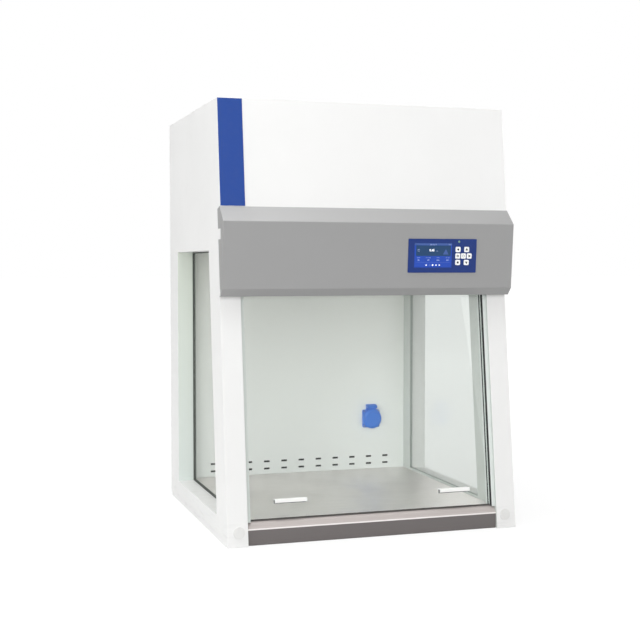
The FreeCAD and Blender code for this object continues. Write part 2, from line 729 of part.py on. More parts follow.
def status_lamp():
    """Small lamp on the control board whose domed lens looks through the bezel."""
    straight = BEZEL_THICKNESS
    lamp = revolved([
        (0, -BOARD_DEPTH), (STATUS_RADIUS, -BOARD_DEPTH), (STATUS_RADIUS, straight),
        (STATUS_RADIUS / 2, straight + STATUS_RISE), (0, straight + STATUS_RISE),
    ])
    lamp.translate(Vector(STATUS_X, STATUS_Y, 0))
    return placed(lamp, PANEL_FRAME)


def control_board():
    """Circuit board behind the bezel."""
    board = plate(BOARD_WIDTH, BOARD_HEIGHT, BOARD_THICKNESS, 0, -BOARD_DEPTH - BOARD_THICKNESS)
    return placed(board, PANEL_FRAME)


def key_switches():
    """One small switch on the board under each key."""
    switches = []
    for x, y in key_places():
        body = plate(SWITCH_SIZE, SWITCH_SIZE, SWITCH_HEIGHT, 0, -BOARD_DEPTH)
        body.translate(Vector(x, y, 0))
        switches.append(placed(body, PANEL_FRAME))
    return Part.makeCompound(switches)


def key(x, y):
    """Key cap with a flange behind the bezel and a stem down to its switch."""
    flange_top = -GAP
    stem_end = -BOARD_DEPTH + SWITCH_HEIGHT + KEY_TRAVEL + GAP
    cap_height = BEZEL_THICKNESS + KEY_RISE - flange_top
    cap = plate(KEY_SIZE, KEY_SIZE, cap_height, KEY_CORNER, flange_top)
    wide = KEY_SIZE + 2 * KEY_FLANGE
    flange = plate(wide, wide, KEY_FLANGE_THICKNESS, 0, flange_top - KEY_FLANGE_THICKNESS)
    stem_top = flange_top - KEY_FLANGE_THICKNESS
    stem = disc(KEY_STEM_RADIUS, stem_top - stem_end, bottom=stem_end)
    button = cap.fuse([flange, stem]).removeSplitter()
    button.translate(Vector(x, y, 0))
    return placed(button, PANEL_FRAME)


def sash_bottom():
    """Distance up the slope at which the sash's seal just clears the lip."""
    rear = SASH_REAR_DEPTH + SASH_SEAL_LIP
    return (WORKTOP_Z + GAP + rear * ALONG_Y) / ALONG_Z


def sash_glass():
    """Front pane that slides up behind the housing front."""
    low = sash_bottom() + SASH_SEAL_LIP
    pane = block(
        -SASH_HALF_WIDTH, SASH_HALF_WIDTH, low, SASH_TOP_Z * SLOPE,
        -SASH_REAR_DEPTH, -SASH_FRONT_DEPTH,
    )
    return placed(pane, FRONT_FRAME)


def sash_seal():
    """Rubber channel on the lower edge of the sash, between the guide rails."""
    low = sash_bottom()
    reach = INNER_X - RAIL_REACH - GAP
    strip = block(
        -reach, reach, low, low + SASH_SEAL_HEIGHT,
        -SASH_REAR_DEPTH - SASH_SEAL_LIP, -SASH_FRONT_DEPTH + SASH_SEAL_LIP,
    )
    return placed(strip, FRONT_FRAME).cut(sash_glass())


def sash_handle():
    """Right handle: an extruded channel, open below for the fingers, bonded to the glass."""
    top = HANDLE_TOP_Z * SLOPE
    rear = -SASH_FRONT_DEPTH
    front = rear + HANDLE_DEPTH
    outline = [
        (rear, top, 0.0),
        (rear, top - HANDLE_REAR_LEG, 0.0),
        (rear + HANDLE_WALL, top - HANDLE_REAR_LEG, 0.0),
        (rear + HANDLE_WALL, top - HANDLE_WALL, HANDLE_ROUND),
        (front - HANDLE_WALL, top - HANDLE_WALL, HANDLE_ROUND),
        (front - HANDLE_WALL, top - HANDLE_FRONT_LEG, HANDLE_ROUND),
        (front, top - HANDLE_FRONT_LEG, HANDLE_ROUND),
        (front, top, HANDLE_NOSE_ROUND),
    ]
    swapped = [(up, out, radius) for out, up, radius in outline]
    face = rounded_face(swapped)
    face.translate(Vector(HANDLE_X - HANDLE_LENGTH / 2, 0, 0))
    return placed(face.extrude(Vector(HANDLE_LENGTH, 0, 0)), FRONT_FRAME)


def trimmed_upright(shape, top):
    """Leaning profile cut level at the worktop and at its top."""
    return shape.common(block(-WIDTH, WIDTH, -DEPTH, DEPTH, WORKTOP_Z, top))


def rail_seal_strips():
    """Right rail's two seal strips: one in front of the glass and one behind it."""
    tip = INNER_X - RAIL_REACH
    rear_start = RAIL_SLOT_REAR + REAR_SEAL_SETBACK
    strips = []
    for front, rear in (
        (RAIL_FRONT_DEPTH + RAIL_WALL, RAIL_SLOT_FRONT),
        (rear_start, rear_start + REAR_SEAL),
    ):
        strips.append(block(tip, tip + RAIL_SEAL_INSET, 0, HEIGHT * SLOPE, -rear, -front))
    return strips


def guide_rail():
    """Right guide rail: an extrusion with a slot for the sash and two pockets for its seals."""
    tip = INNER_X - RAIL_REACH
    length = HEIGHT * SLOPE
    rail = block(tip, INNER_X, 0, length, -RAIL_REAR_DEPTH, -RAIL_FRONT_DEPTH)
    slot = block(tip, INNER_X - RAIL_WALL, 0, length, -RAIL_SLOT_REAR, -RAIL_SLOT_FRONT)
    return trimmed_upright(placed(rail.cut([slot] + rail_seal_strips()), FRONT_FRAME), RAIL_TOP_Z)


def rail_seals():
    """Black rubber strips in the pockets of both rails, flush with their tips."""
    strips = [trimmed_upright(placed(strip, FRONT_FRAME), RAIL_TOP_Z) for strip in rail_seal_strips()]
    return Part.makeCompound(strips + [mirrored(strip) for strip in strips])


def column_cap():
    """Right column cap: a flat round plug."""
    return placed(disc(CAP_RADIUS, CAP_RISE, CAP_X, CAP_Z * SLOPE), FRONT_FRAME)


def front_baffle():
    """Leaning sheet behind the sash's path that closes the front of the air space."""
    return prism(
        [
            (leaning_y(BAFFLE_BOTTOM_Z, BAFFLE_DEPTH), BAFFLE_BOTTOM_Z),
            (leaning_y(BAFFLE_BOTTOM_Z, BAFFLE_DEPTH + SHEET), BAFFLE_BOTTOM_Z),
            (leaning_y(ROOF_Z, BAFFLE_DEPTH + SHEET), ROOF_Z),
            (leaning_y(ROOF_Z, BAFFLE_DEPTH), ROOF_Z),
        ],
        -INNER_X, INNER_X,
    )


def ceiling_diffuser():
    """Flat slotted sheet that spreads the air over the worktop and carries the supply filter."""
    front = leaning_y(CEILING_Z + SHEET, BAFFLE_DEPTH + SHEET)
    depth = BACK_WALL_Y - front
    grid = slotted_plate(
        2 * INNER_X, depth, SHEET, DIFFUSER_COLUMNS, DIFFUSER_ROWS, DIFFUSER_RIM, DIFFUSER_BAR
    )
    grid.translate(Vector(0, front + depth / 2, CEILING_Z))
    return grid


def filter_frame(width, depth):
    """Open frame of a panel filter, centred on its own axis."""
    outer = plate(width, depth, FILTER_HEIGHT, 0)
    return outer.cut(plate(width - 2 * FILTER_WALL, depth - 2 * FILTER_WALL, FILTER_HEIGHT, 0))


def filter_pack(width, depth):
    """Pleated sheet that fills a filter frame: its folds run across the width."""
    reach = width / 2 - FILTER_WALL
    open_depth = depth - 2 * FILTER_WALL
    folds = int(open_depth / PLEAT_PITCH) * 2
    upper = []
    for fold in range(folds + 1):
        z = FILTER_HEIGHT if fold % 2 else PLEAT_WALL
        upper.append((-open_depth / 2 + open_depth * fold / folds, z))
    lower = [(y, z - PLEAT_WALL) for y, z in reversed(upper)]
    return prism(upper + lower, -reach, reach)


def supply_filter(make):
    """Frame or pack of the filter that lies on the diffuser against the back wall."""
    bottom = CEILING_Z + SHEET
    front = leaning_y(bottom + FILTER_HEIGHT, BAFFLE_DEPTH + SHEET) + SUPPLY_FRONT_GAP
    depth = BACK_WALL_Y - front
    shape = make(2 * (INNER_X - SUPPLY_SIDE_GAP), depth)
    shape.translate(Vector(0, front + depth / 2, bottom))
    return shape


def exhaust_filter(make):
    """Frame or pack of the filter that hangs under the roof's grille."""
    shape = make(EXHAUST_SIZE, EXHAUST_SIZE)
    shape.translate(Vector(EXHAUST_X, EXHAUST_Y, ROOF_Z - FILTER_HEIGHT))
    return shape


def scroll_body(wall, bottom, height):
    """Scroll of four quarter arcs of growing radius with a straight outlet at its foot."""
    centre = Vector(0, 0, bottom)
    edges = []
    corners = []
    for quarter in range(4):
        angles = [math.radians(90 * quarter - 90 + step) for step in (0, 45, 90)]
        radius = SCROLL_RADIUS + wall + quarter * SCROLL_GROWTH
        points = [centre + Vector(math.cos(a), math.sin(a), 0) * radius for a in angles]
        edges.append(Part.Arc(*points).toShape())
        corners.append(points)
        towards = Vector(math.cos(angles[2]), math.sin(angles[2]), 0)
        centre = centre - towards * SCROLL_GROWTH
    edges.append(Part.LineSegment(corners[-1][2], corners[0][0]).toShape())
    scroll = Part.Face(Part.Wire(edges)).extrude(Vector(0, 0, height))
    foot = corners[-1][2]
    duct_height = OUTLET_HEIGHT + 2 * wall
    duct = Part.makeBox(OUTLET_REACH - foot.x, duct_height, height, Vector(foot.x, foot.y, bottom))
    return scroll.fuse(duct).removeSplitter()


def blower_housing():
    """Sheet scroll on the back wall: open at its inlet, its outlet and round the motor shaft."""
    shell = scroll_body(SHEET, 0, SCROLL_WIDTH)
    air = scroll_body(0, SHEET, SCROLL_WIDTH - 2 * SHEET)
    inlet = disc(INLET_RADIUS, SHEET)
    port = disc(MOTOR_PORT_RADIUS, SHEET, bottom=SCROLL_WIDTH - SHEET)
    return placed(shell.cut([air, inlet, port]), BLOWER_FRAME)


def blade():
    """One forward-curved impeller blade, between the ring and the disc."""
    start = Vector(BLADE_INNER_RADIUS, 0, 0)
    end = Vector(IMPELLER_RADIUS * math.cos(math.radians(BLADE_SWEEP)),
                 IMPELLER_RADIUS * math.sin(math.radians(BLADE_SWEEP)), 0)
    along = (end - start).normalize()
    across = Vector(along.y, -along.x, 0)
    middle = (start + end) / 2 + across * BLADE_BULGE
    thick = across * BLADE_THICKNESS
    edges = [
        Part.Arc(start, middle, end).toShape(),
        Part.LineSegment(end, end + thick).toShape(),
        Part.Arc(end + thick, middle + thick, start + thick).toShape(),
        Part.LineSegment(start + thick, start).toShape(),
    ]
    height = IMPELLER_WIDTH - 2 * IMPELLER_DISC
    face = Part.Face(Part.Wire(edges))
    face.translate(Vector(0, 0, IMPELLER_START + IMPELLER_DISC))
    return face.extrude(Vector(0, 0, height))


def impeller():
    """Drum of curved blades between an inlet ring and a disc with a bored hub."""
    rim = IMPELLER_RADIUS + BLADE_THICKNESS
    ring = disc(rim, IMPELLER_DISC, bottom=IMPELLER_START)
    ring = ring.cut(disc(BLADE_INNER_RADIUS - BLADE_THICKNESS, IMPELLER_DISC, bottom=IMPELLER_START))
    end = IMPELLER_START + IMPELLER_WIDTH
    web = disc(rim, IMPELLER_DISC, bottom=end - IMPELLER_DISC)
    hub = disc(HUB_RADIUS, HUB_LENGTH, bottom=end - HUB_LENGTH)
    blades = []
    for index in range(BLADE_COUNT):
        turned = blade()
        turned.rotate(Vector(), Vector(0, 0, 1), 360 * index / BLADE_COUNT)
        blades.append(turned)
    wheel = web.fuse([ring, hub] + blades)
    bore = disc(SHAFT_RADIUS, IMPELLER_WIDTH, bottom=IMPELLER_START)
    return placed(wheel.cut(bore), BLOWER_FRAME)


def motor_shaft():
    """Shaft from the impeller's hub through the motor."""
    start = IMPELLER_START + IMPELLER_WIDTH - HUB_LENGTH
    length = SCROLL_WIDTH + MOTOR_LENGTH - start
    return placed(disc(SHAFT_RADIUS, length, bottom=start), BLOWER_FRAME)


def motor():
    """Motor body bolted by its flange to the front of the blower housing."""
    body = disc(MOTOR_RADIUS, MOTOR_LENGTH, bottom=SCROLL_WIDTH)
    flange = disc(MOTOR_FLANGE_RADIUS, MOTOR_FLANGE, bottom=SCROLL_WIDTH)
    bore = disc(SHAFT_RADIUS + SHAFT_CLEARANCE, MOTOR_LENGTH, bottom=SCROLL_WIDTH)
    return placed(body.fuse(flange).cut(bore), BLOWER_FRAME)


def lamp_tube(y):
    """Lamp tube across the chamber with a stepped metal cap at each end."""
    half = TUBE_LENGTH / 2
    shoulder = half - TUBE_CAP_LENGTH
    neck = TUBE_RADIUS - GAP
    tube = revolved([
        (0, -half), (neck, -half), (neck, -shoulder), (TUBE_RADIUS, -shoulder),
        (TUBE_RADIUS, shoulder), (neck, shoulder), (neck, half), (0, half),
    ])
    return placed(tube, facing(Vector(0, y, LAMP_Z), Vector(0, 0, 1), Vector(0, 1, 0)))


def lamp_holders(y, wall_y):
    """Two holders that carry a tube's ends from a wall at wall_y."""
    near, far = sorted((wall_y, y + math.copysign(TUBE_RADIUS, y - wall_y)))
    start = TUBE_LENGTH / 2
    low = LAMP_Z - HOLDER_HEIGHT / 2
    holder = block(start, start + HOLDER_WIDTH, near, far, low, low + HOLDER_HEIGHT)
    if wall_y < 0:
        holder = holder.cut(baffle_side())
    return Part.makeCompound([holder, mirrored(holder)])


def baffle_side():
    """Space in front of the baffle's rear face, which a holder stays out of."""
    return prism(
        [
            (leaning_y(0, BAFFLE_DEPTH + SHEET), 0),
            (leaning_y(HEIGHT, BAFFLE_DEPTH + SHEET), HEIGHT),
            (FRONT_Y, HEIGHT),
            (FRONT_Y, 0),
        ],
        -WIDTH, WIDTH,
    )


def socket_base():
    """Socket: wall plate, collar and can round a well with two contact holes, and hinge ears."""
    base = plate(SOCKET_PLATE, SOCKET_PLATE, SOCKET_PLATE_THICKNESS, SOCKET_CORNER)
    collar = disc(COLLAR_RADIUS, COLLAR_TOP)
    can = disc(CAN_RADIUS, CAN_DEPTH, bottom=-CAN_DEPTH)
    half = HINGE_WIDTH / 2
    inner = half - EAR_WIDTH
    foot_start = Vector(-half, HINGE_UP / 2, 0)
    foot = Part.makeBox(HINGE_WIDTH, HINGE_TOP - HINGE_UP / 2, SOCKET_PLATE_THICKNESS, foot_start)
    ears = []
    for side in (-half, inner):
        round_ear = Part.makeCylinder(KNUCKLE_RADIUS, EAR_WIDTH, Vector(side, HINGE_UP, HINGE_OUT), RIGHT)
        stalk_start = Vector(side, HINGE_UP - KNUCKLE_RADIUS, 0)
        stalk = Part.makeBox(EAR_WIDTH, 2 * KNUCKLE_RADIUS, HINGE_OUT, stalk_start)
        ears.append(round_ear.fuse(stalk))
    well = disc(WELL_RADIUS, COLLAR_TOP - WELL_BOTTOM, bottom=WELL_BOTTOM)
    cuts = [well]
    for x in (-CONTACT_SPACING / 2, CONTACT_SPACING / 2):
        cuts.append(disc(CONTACT_RADIUS, CONTACT_DEPTH, x, 0, WELL_BOTTOM - CONTACT_DEPTH))
    cuts.append(Part.makeCylinder(PIN_RADIUS, HINGE_WIDTH, Vector(-half, HINGE_UP, HINGE_OUT), RIGHT))
    body = base.fuse([collar, can, foot] + ears).cut(cuts).removeSplitter()
    return placed(body, SOCKET_FRAME)


def socket_lid():
    """Round domed lid with an arm and a knuckle on the hinge pin."""
    low = SOCKET_PLATE_THICKNESS + GAP
    skirt = revolved([
        (0, low), (LID_RADIUS, low), (LID_RADIUS, LID_SKIRT_TOP),
        (LID_CROWN_RADIUS, LID_SKIRT_TOP + LID_DOME), (0, LID_SKIRT_TOP + LID_DOME),
    ])
    hollow = disc(LID_RADIUS - LID_WALL, COLLAR_TOP + 2 * GAP - low, bottom=low)
    half = LID_ARM_WIDTH / 2
    arm_low = HINGE_OUT - KNUCKLE_RADIUS + PIN_RADIUS
    arm_start = Vector(-half, LID_ARM_START, arm_low)
    arm = Part.makeBox(LID_ARM_WIDTH, HINGE_UP - LID_ARM_START, KNUCKLE_RADIUS, arm_start)
    knuckle = Part.makeCylinder(KNUCKLE_RADIUS, LID_ARM_WIDTH, Vector(-half, HINGE_UP, HINGE_OUT), RIGHT)
    bore = Part.makeCylinder(
        PIN_RADIUS + PIN_CLEARANCE, LID_ARM_WIDTH, Vector(-half, HINGE_UP, HINGE_OUT), RIGHT
    )
    lid = skirt.fuse([arm, knuckle]).cut([hollow, bore]).removeSplitter()
    return placed(lid, SOCKET_FRAME)


def socket_hinge_pin():
    """Pin through the ears and the lid's knuckle."""
    pin = Part.makeCylinder(PIN_RADIUS, HINGE_WIDTH, Vector(-HINGE_WIDTH / 2, HINGE_UP, HINGE_OUT), RIGHT)
    return placed(pin, SOCKET_FRAME)


def socket_screws():
    """Screw heads in the corners of the socket's plate."""
    heads = []
    for x in (-SOCKET_SCREW_OFFSET, SOCKET_SCREW_OFFSET):
        for y in (-SOCKET_SCREW_OFFSET, SOCKET_SCREW_OFFSET):
            head = disc(SOCKET_SCREW_RADIUS, SOCKET_SCREW_RISE, x, y, SOCKET_PLATE_THICKNESS)
            heads.append(placed(head, SOCKET_FRAME))
    return Part.makeCompound(heads)


def fuse_drawer():
    """Small drawer below the inlet's well."""
    drawer = plate(DRAWER_WIDTH, DRAWER_HEIGHT, DRAWER_DEPTH + INLET_PLATE, 0, -DRAWER_DEPTH)
    drawer.translate(Vector(0, DRAWER_Y, 0))
    return placed(drawer, INLET_FRAME)


def power_inlet():
    """Inlet moulding: flange, body, a well with three pins, and a pocket for the fuse drawer."""
    flange = plate(INLET_PLATE_WIDTH, INLET_PLATE_HEIGHT, INLET_PLATE, 0)
    body_width = INLET_PLATE_WIDTH - 2 * INLET_WALL
    body_height = INLET_PLATE_HEIGHT - 2 * INLET_WALL
    body = plate(body_width, body_height, INLET_BODY_DEPTH, 0, -INLET_BODY_DEPTH)
    well_width = body_width - 2 * INLET_WALL
    well = plate(well_width, INLET_WELL_HEIGHT, INLET_WELL_DEPTH, 0, INLET_PLATE - INLET_WELL_DEPTH)
    well.translate(Vector(0, INLET_WELL_Y, 0))
    pins = []
    for column in (-1, 0, 1):
        pin = plate(INLET_PIN_WIDTH, INLET_PIN_HEIGHT, INLET_PIN_LENGTH, 0, INLET_PLATE - INLET_WELL_DEPTH)
        lift = 0 if column else INLET_PIN_HEIGHT
        pin.translate(Vector(column * INLET_PIN_PITCH, INLET_WELL_Y + lift, 0))
        pins.append(pin)
    pocket = plate(DRAWER_WIDTH, DRAWER_HEIGHT, DRAWER_DEPTH + INLET_PLATE, 0, -DRAWER_DEPTH)
    pocket.translate(Vector(0, DRAWER_Y, 0))
    moulding = flange.fuse(body).cut([well, pocket]).fuse(pins).removeSplitter()
    return placed(moulding, INLET_FRAME)


def pieces():
    """Every piece of the cabinet by its name."""
    named = {
        "base_pan": base_pan(),
        "worktop": worktop(),
        "front_lip": front_lip(),
        "interior_back_wall": interior_back_wall(),
        "rear_panel": rear_panel(),
        "rear_panel_screws": rear_panel_screws(),
        "top_panel": top_panel(),
        "exhaust_grille": exhaust_grille(),
        "upper_front_panel": upper_front_panel(),
        "trim_strip": trim_strip(),
        "console_cover": console_cover(),
        "control_bezel": control_bezel(),
        "display_module": display_module(),
        "status_lamp": status_lamp(),
        "control_board": control_board(),
        "key_switches": key_switches(),
        "sash_glass": sash_glass(),
        "sash_seal": sash_seal(),
        "rail_seals": rail_seals(),
        "front_baffle": front_baffle(),
        "ceiling_diffuser": ceiling_diffuser(),
        "supply_filter_frame": supply_filter(filter_frame),
        "supply_filter_pack": supply_filter(filter_pack),
        "exhaust_filter_frame": exhaust_filter(filter_frame),
        "exhaust_filter_pack": exhaust_filter(filter_pack),
        "blower_housing": blower_housing(),
        "impeller": impeller(),
        "motor": motor(),
        "motor_shaft": motor_shaft(),
        "socket_base": socket_base(),
        "socket_lid": socket_lid(),
        "socket_hinge_pin": socket_hinge_pin(),
        "socket_screws": socket_screws(),
        "power_inlet": power_inlet(),
        "fuse_drawer": fuse_drawer(),
    }
    paired = {
        "side_panel": side_panel(),
        "inner_liner": inner_liner(),
        "window_gasket": window_gasket(),
        "window_glass": window_glass(),
        "sash_handle": sash_handle(),
        "guide_rail": guide_rail(),
        "column_cap": column_cap(),
    }
    for name, shape in paired.items():
        named[name + "_right"] = shape
        named[name + "_left"] = mirrored(shape)
    for number, (x, y) in enumerate(key_places(), start=1):
        named["key_" + str(number)] = key(x, y)
    lamps = {
        "work_lamp": leaning_y(LAMP_Z, BAFFLE_DEPTH + SHEET),
        "uv_lamp": BACK_WALL_Y,
    }
    for name, wall_y in lamps.items():
        y = wall_y - math.copysign(LAMP_STANDOFF, wall_y)
        named[name + "_tube"] = lamp_tube(y)
        named[name + "_holders"] = lamp_holders(y, wall_y)
    return named


os.makedirs("parts", exist_ok=True)
for node, solid in pieces().items():
    solid.exportStep("parts/" + node + ".step")
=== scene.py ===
"""Looks of the biological safety cabinet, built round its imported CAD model. Lengths are in metres."""

import logging
import math
from dataclasses import dataclass, field
from enum import Enum

import bpy
import numpy as np
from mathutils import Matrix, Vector


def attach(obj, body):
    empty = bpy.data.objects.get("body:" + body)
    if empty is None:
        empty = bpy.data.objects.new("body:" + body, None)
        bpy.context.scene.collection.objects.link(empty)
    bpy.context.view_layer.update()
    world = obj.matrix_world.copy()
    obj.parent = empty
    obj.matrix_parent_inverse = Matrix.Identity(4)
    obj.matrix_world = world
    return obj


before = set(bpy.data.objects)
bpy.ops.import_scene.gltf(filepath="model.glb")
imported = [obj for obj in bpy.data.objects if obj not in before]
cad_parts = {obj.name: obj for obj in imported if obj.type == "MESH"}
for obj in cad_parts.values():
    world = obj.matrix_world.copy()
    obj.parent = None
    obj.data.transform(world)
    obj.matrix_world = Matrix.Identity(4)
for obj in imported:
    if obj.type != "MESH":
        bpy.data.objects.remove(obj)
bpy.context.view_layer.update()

LOG = logging.getLogger("cabinet")
MM = 0.001
RIGHT = np.array((1.0, 0.0, 0.0))
WHITE = (1.0, 1.0, 1.0, 1.0)
WELD_REACH = 0.01 * MM
SHARP_ANGLE = math.radians(30)
CAPITAL_SHARE = 0.7  # How much of a letter's size its capitals are high
WAVE_BAND = 0.314  # How wide one band of a wave texture is at scale 1, in metres

# What use leaves on the surfaces
GRIME = "#8C8A84"
DUST = "#B9B4A8"
SCUFFS = "#77746E"
HAND_MARKS = "#6E6C66"
SMUDGES = "#8E8A82"

Socket = bpy.types.NodeSocket
Value = float | tuple[float, ...] | Socket


class Slot(Enum):
    """The record's material slots."""

    WHITE_PAINT = "white_paint"
    GREY_PAINT = "grey_paint"
    BLUE_PLATE = "blue_plate"
    STAINLESS = "stainless"
    GALVANISED = "galvanised"
    SCREW_STEEL = "screw_steel"
    GLASS = "glass"
    SCREEN_GLASS = "screen_glass"
    LAMP_LENS = "lamp_lens"
    BLACK_RUBBER = "black_rubber"
    WHITE_PLASTIC = "white_plastic"
    BLUE_PLASTIC = "blue_plastic"
    BLACK_PLASTIC = "black_plastic"
    BOARD = "board"
    FILTER_METAL = "filter_metal"
    FILTER_PAPER = "filter_paper"
    MOTOR_PAINT = "motor_paint"
    LAMP_GLASS = "lamp_glass"


class Body(Enum):
    """The CAD bodies that new pieces ride on."""

    CABINET = "cabinet"
    KEY_1 = "key_1_button"
    KEY_2 = "key_2_button"
    KEY_3 = "key_3_button"
    KEY_4 = "key_4_button"
    KEY_5 = "key_5_button"
    KEY_6 = "key_6_button"
    KEY_7 = "key_7_button"


def linear(colour: str) -> tuple[float, float, float, float]:
    """Turns an sRGB hex colour into linear light.

    Args:
        colour: Six hex digits after a #.

    Returns:
        Red, green, blue and an alpha of 1.
    """
    parts = [int(colour[i : i + 2], 16) / 255 for i in (1, 3, 5)]
    bright = [p / 12.92 if p <= 0.04045 else ((p + 0.055) / 1.055) ** 2.4 for p in parts]
    return (bright[0], bright[1], bright[2], 1.0)


def add_node(
    tree: bpy.types.NodeTree, kind: str, inputs: dict[str | int, Value] | None = None, **settings: object
) -> bpy.types.Node:
    """Adds a node with its settings and links.

    Args:
        tree: The tree that gets the node.
        kind: The node's type.
        inputs: A value or a linked socket for each named input.
        **settings: The node's own properties.

    Returns:
        The new node.
    """
    node = tree.nodes.new(kind)
    for name, value in settings.items():
        setattr(node, name, value)
    for name, value in (inputs or {}).items():
        if isinstance(value, Socket):
            tree.links.new(value, node.inputs[name])
        else:
            node.inputs[name].default_value = value
    return node


class Canvas:
    """One material's node tree, with short calls for the nodes that the finishes share."""

    def __init__(self, name: str) -> None:
        """Makes an empty material with its object coordinates."""
        self.material = bpy.data.materials.new(name)
        self.material.use_nodes = True
        self.tree = self.material.node_tree
        self.tree.nodes.clear()
        self.output = self.add("ShaderNodeOutputMaterial")
        self.coords = self.add("ShaderNodeTexCoord").outputs["Object"]

    def add(
        self, kind: str, inputs: dict[str | int, Value] | None = None, **settings: object
    ) -> bpy.types.Node:
        """Adds a node to this material, as add_node does."""
        return add_node(self.tree, kind, inputs, **settings)

    def noise(self, feature: float, stretch: tuple[float, ...] = (1, 1, 1), detail: float = 3.0) -> Socket:
        """Noise over the object's own coordinates.

        Args:
            feature: About how wide one feature is, in metres.
            stretch: Scale along each axis; under 1 draws the features out.
            detail: How many finer layers it has.
        """
        mapping = self.add("ShaderNodeMapping", {"Vector": self.coords, "Scale": stretch})
        noise = self.add(
            "ShaderNodeTexNoise", {"Vector": mapping.outputs[0], "Scale": 1 / feature, "Detail": detail}
        )
        return noise.outputs["Fac"]

    def ramp(self, value: Socket, start: float, stop: float, low: float = 0.0, high: float = 1.0) -> Socket:
        """Maps a value from start..stop to low..high.

        Args:
            value: What is mapped.
            start: The value that gives low.
            stop: The value that gives high.
            low: The result before start.
            high: The result after stop.
        """
        inputs = {"Value": value, "From Min": start, "From Max": stop, "To Min": low, "To Max": high}
        return self.add("ShaderNodeMapRange", inputs, clamp=True).outputs["Result"]

    def maths(self, operation: str, *numbers: Value) -> Socket:
        """One operation on up to three numbers."""
        return self.add("ShaderNodeMath", dict(enumerate(numbers)), operation=operation).outputs[0]

    def mix(self, share: Value, first: Value, second: Value) -> Socket:
        """Blends two colours."""
        node = self.add("ShaderNodeMix", {0: share, 6: first, 7: second}, data_type="RGBA")
        return node.outputs[2]

    def bump(self, height: Socket, depth: float) -> Socket:
        """Relief of that real depth."""
        return self.add("ShaderNodeBump", {"Height": height, "Distance": depth}).outputs["Normal"]

    def facing(self, axis: str) -> Socket:
        """How far the surface faces along an axis, from -1 to 1."""
        normal = self.add("ShaderNodeNewGeometry").outputs["Normal"]
        return self.add("ShaderNodeSeparateXYZ", {0: normal}).outputs[axis]

    def place(self, axis: str) -> Socket:
        """The surface's place along an axis, in metres."""
        return self.add("ShaderNodeSeparateXYZ", {0: self.coords}).outputs[axis]

    def finish(self, **inputs: Value) -> bpy.types.Material:
        """Ends the tree in a Principled shader; an input's name is written with _ for each space."""
        named = {name.replace("_", " "): value for name, value in inputs.items()}
        shader = self.add("ShaderNodeBsdfPrincipled", named)
        self.tree.links.new(shader.outputs[0], self.output.inputs["Surface"])
        return self.material


@dataclass(frozen=True)
class Paint:
    """Powder coat on sheet metal: orange peel, faint cloudiness, dust on level faces, scuffs by the feet.

    Faces that look forward from behind a given depth take painted light and shade instead, ramped from a
    foot colour up to a head colour.
    """

    colour: str
    roughness: float = 0.42
    peel: float = 0.0022
    relief: float = 0.00003
    painted_shading: tuple[str, str] = ("", "")
    painted_shading_from: float = 0.0
    painted_shading_heights: tuple[float, float] = (60 * MM, 650 * MM)
    scuffed_below: float = 70 * MM

    def build(self, name: str) -> bpy.types.Material:
        """The material under that name."""
        canvas = Canvas(name)
        base: Value = linear(self.colour)
        # Painted light and shade: forward-facing faces behind the given depth get a colour ramp from foot
        # to head.
        if self.painted_shading_from:
            rise = canvas.ramp(canvas.place("Z"), *self.painted_shading_heights)
            shading_tone = canvas.mix(rise, linear(self.painted_shading[0]), linear(self.painted_shading[1]))
            forward = canvas.ramp(canvas.facing("Y"), -0.7, -0.6, 1.0, 0.0)
            behind = canvas.ramp(canvas.place("Y"), self.painted_shading_from, self.painted_shading_from + MM)
            base = canvas.mix(canvas.maths("MULTIPLY", forward, behind), base, shading_tone)
        cloud = canvas.ramp(canvas.noise(0.22), 0.35, 0.65, 0.0, 0.035)
        tone = canvas.mix(cloud, base, linear(GRIME))
        level = canvas.ramp(canvas.facing("Z"), 0.75, 1.0)
        specks = canvas.ramp(canvas.noise(0.03, detail=6.0), 0.45, 0.75, 0.0, 0.16)
        dusty = canvas.mix(canvas.maths("MULTIPLY", level, specks), tone, linear(DUST))
        foot = canvas.ramp(canvas.place("Z"), 0.0, self.scuffed_below, 1.0, 0.0)
        rubs = canvas.ramp(canvas.noise(0.012, (0.25, 0.25, 1.6), 5.0), 0.55, 0.8, 0.0, 0.22)
        worn = canvas.mix(canvas.maths("MULTIPLY", foot, rubs), dusty, linear(SCUFFS))
        rough = canvas.ramp(canvas.noise(0.05), 0.3, 0.7, self.roughness - 0.05, self.roughness + 0.07)
        return canvas.finish(
            Base_Color=worn,
            Roughness=rough,
            Normal=canvas.bump(canvas.noise(self.peel, detail=1.0), self.relief),
        )


@dataclass(frozen=True)
class Steel:
    """Bare sheet steel: a grain drawn along X and faint smudges."""

    colour: str
    roughness: float = 0.3
    grain: float = 0.0012
    shade: str = "#7F807D"

    def build(self, name: str) -> bpy.types.Material:
        """The material under that name."""
        canvas = Canvas(name)
        streak = canvas.noise(self.grain, (0.012, 1.0, 1.0), 4.0)
        smudge = canvas.noise(0.09, detail=4.0)
        tone = canvas.mix(canvas.ramp(streak, 0.3, 0.7, 0.0, 0.16), linear(self.colour), linear(self.shade))
        handled = canvas.mix(canvas.ramp(smudge, 0.5, 0.75, 0.0, 0.08), tone, linear(SMUDGES))
        rough = canvas.ramp(smudge, 0.35, 0.7, self.roughness - 0.03, self.roughness + 0.05)
        return canvas.finish(
            Base_Color=handled,
            Metallic=1.0,
            Roughness=rough,
            Anisotropic=0.4,
            Normal=canvas.bump(streak, 0.00002),
        )


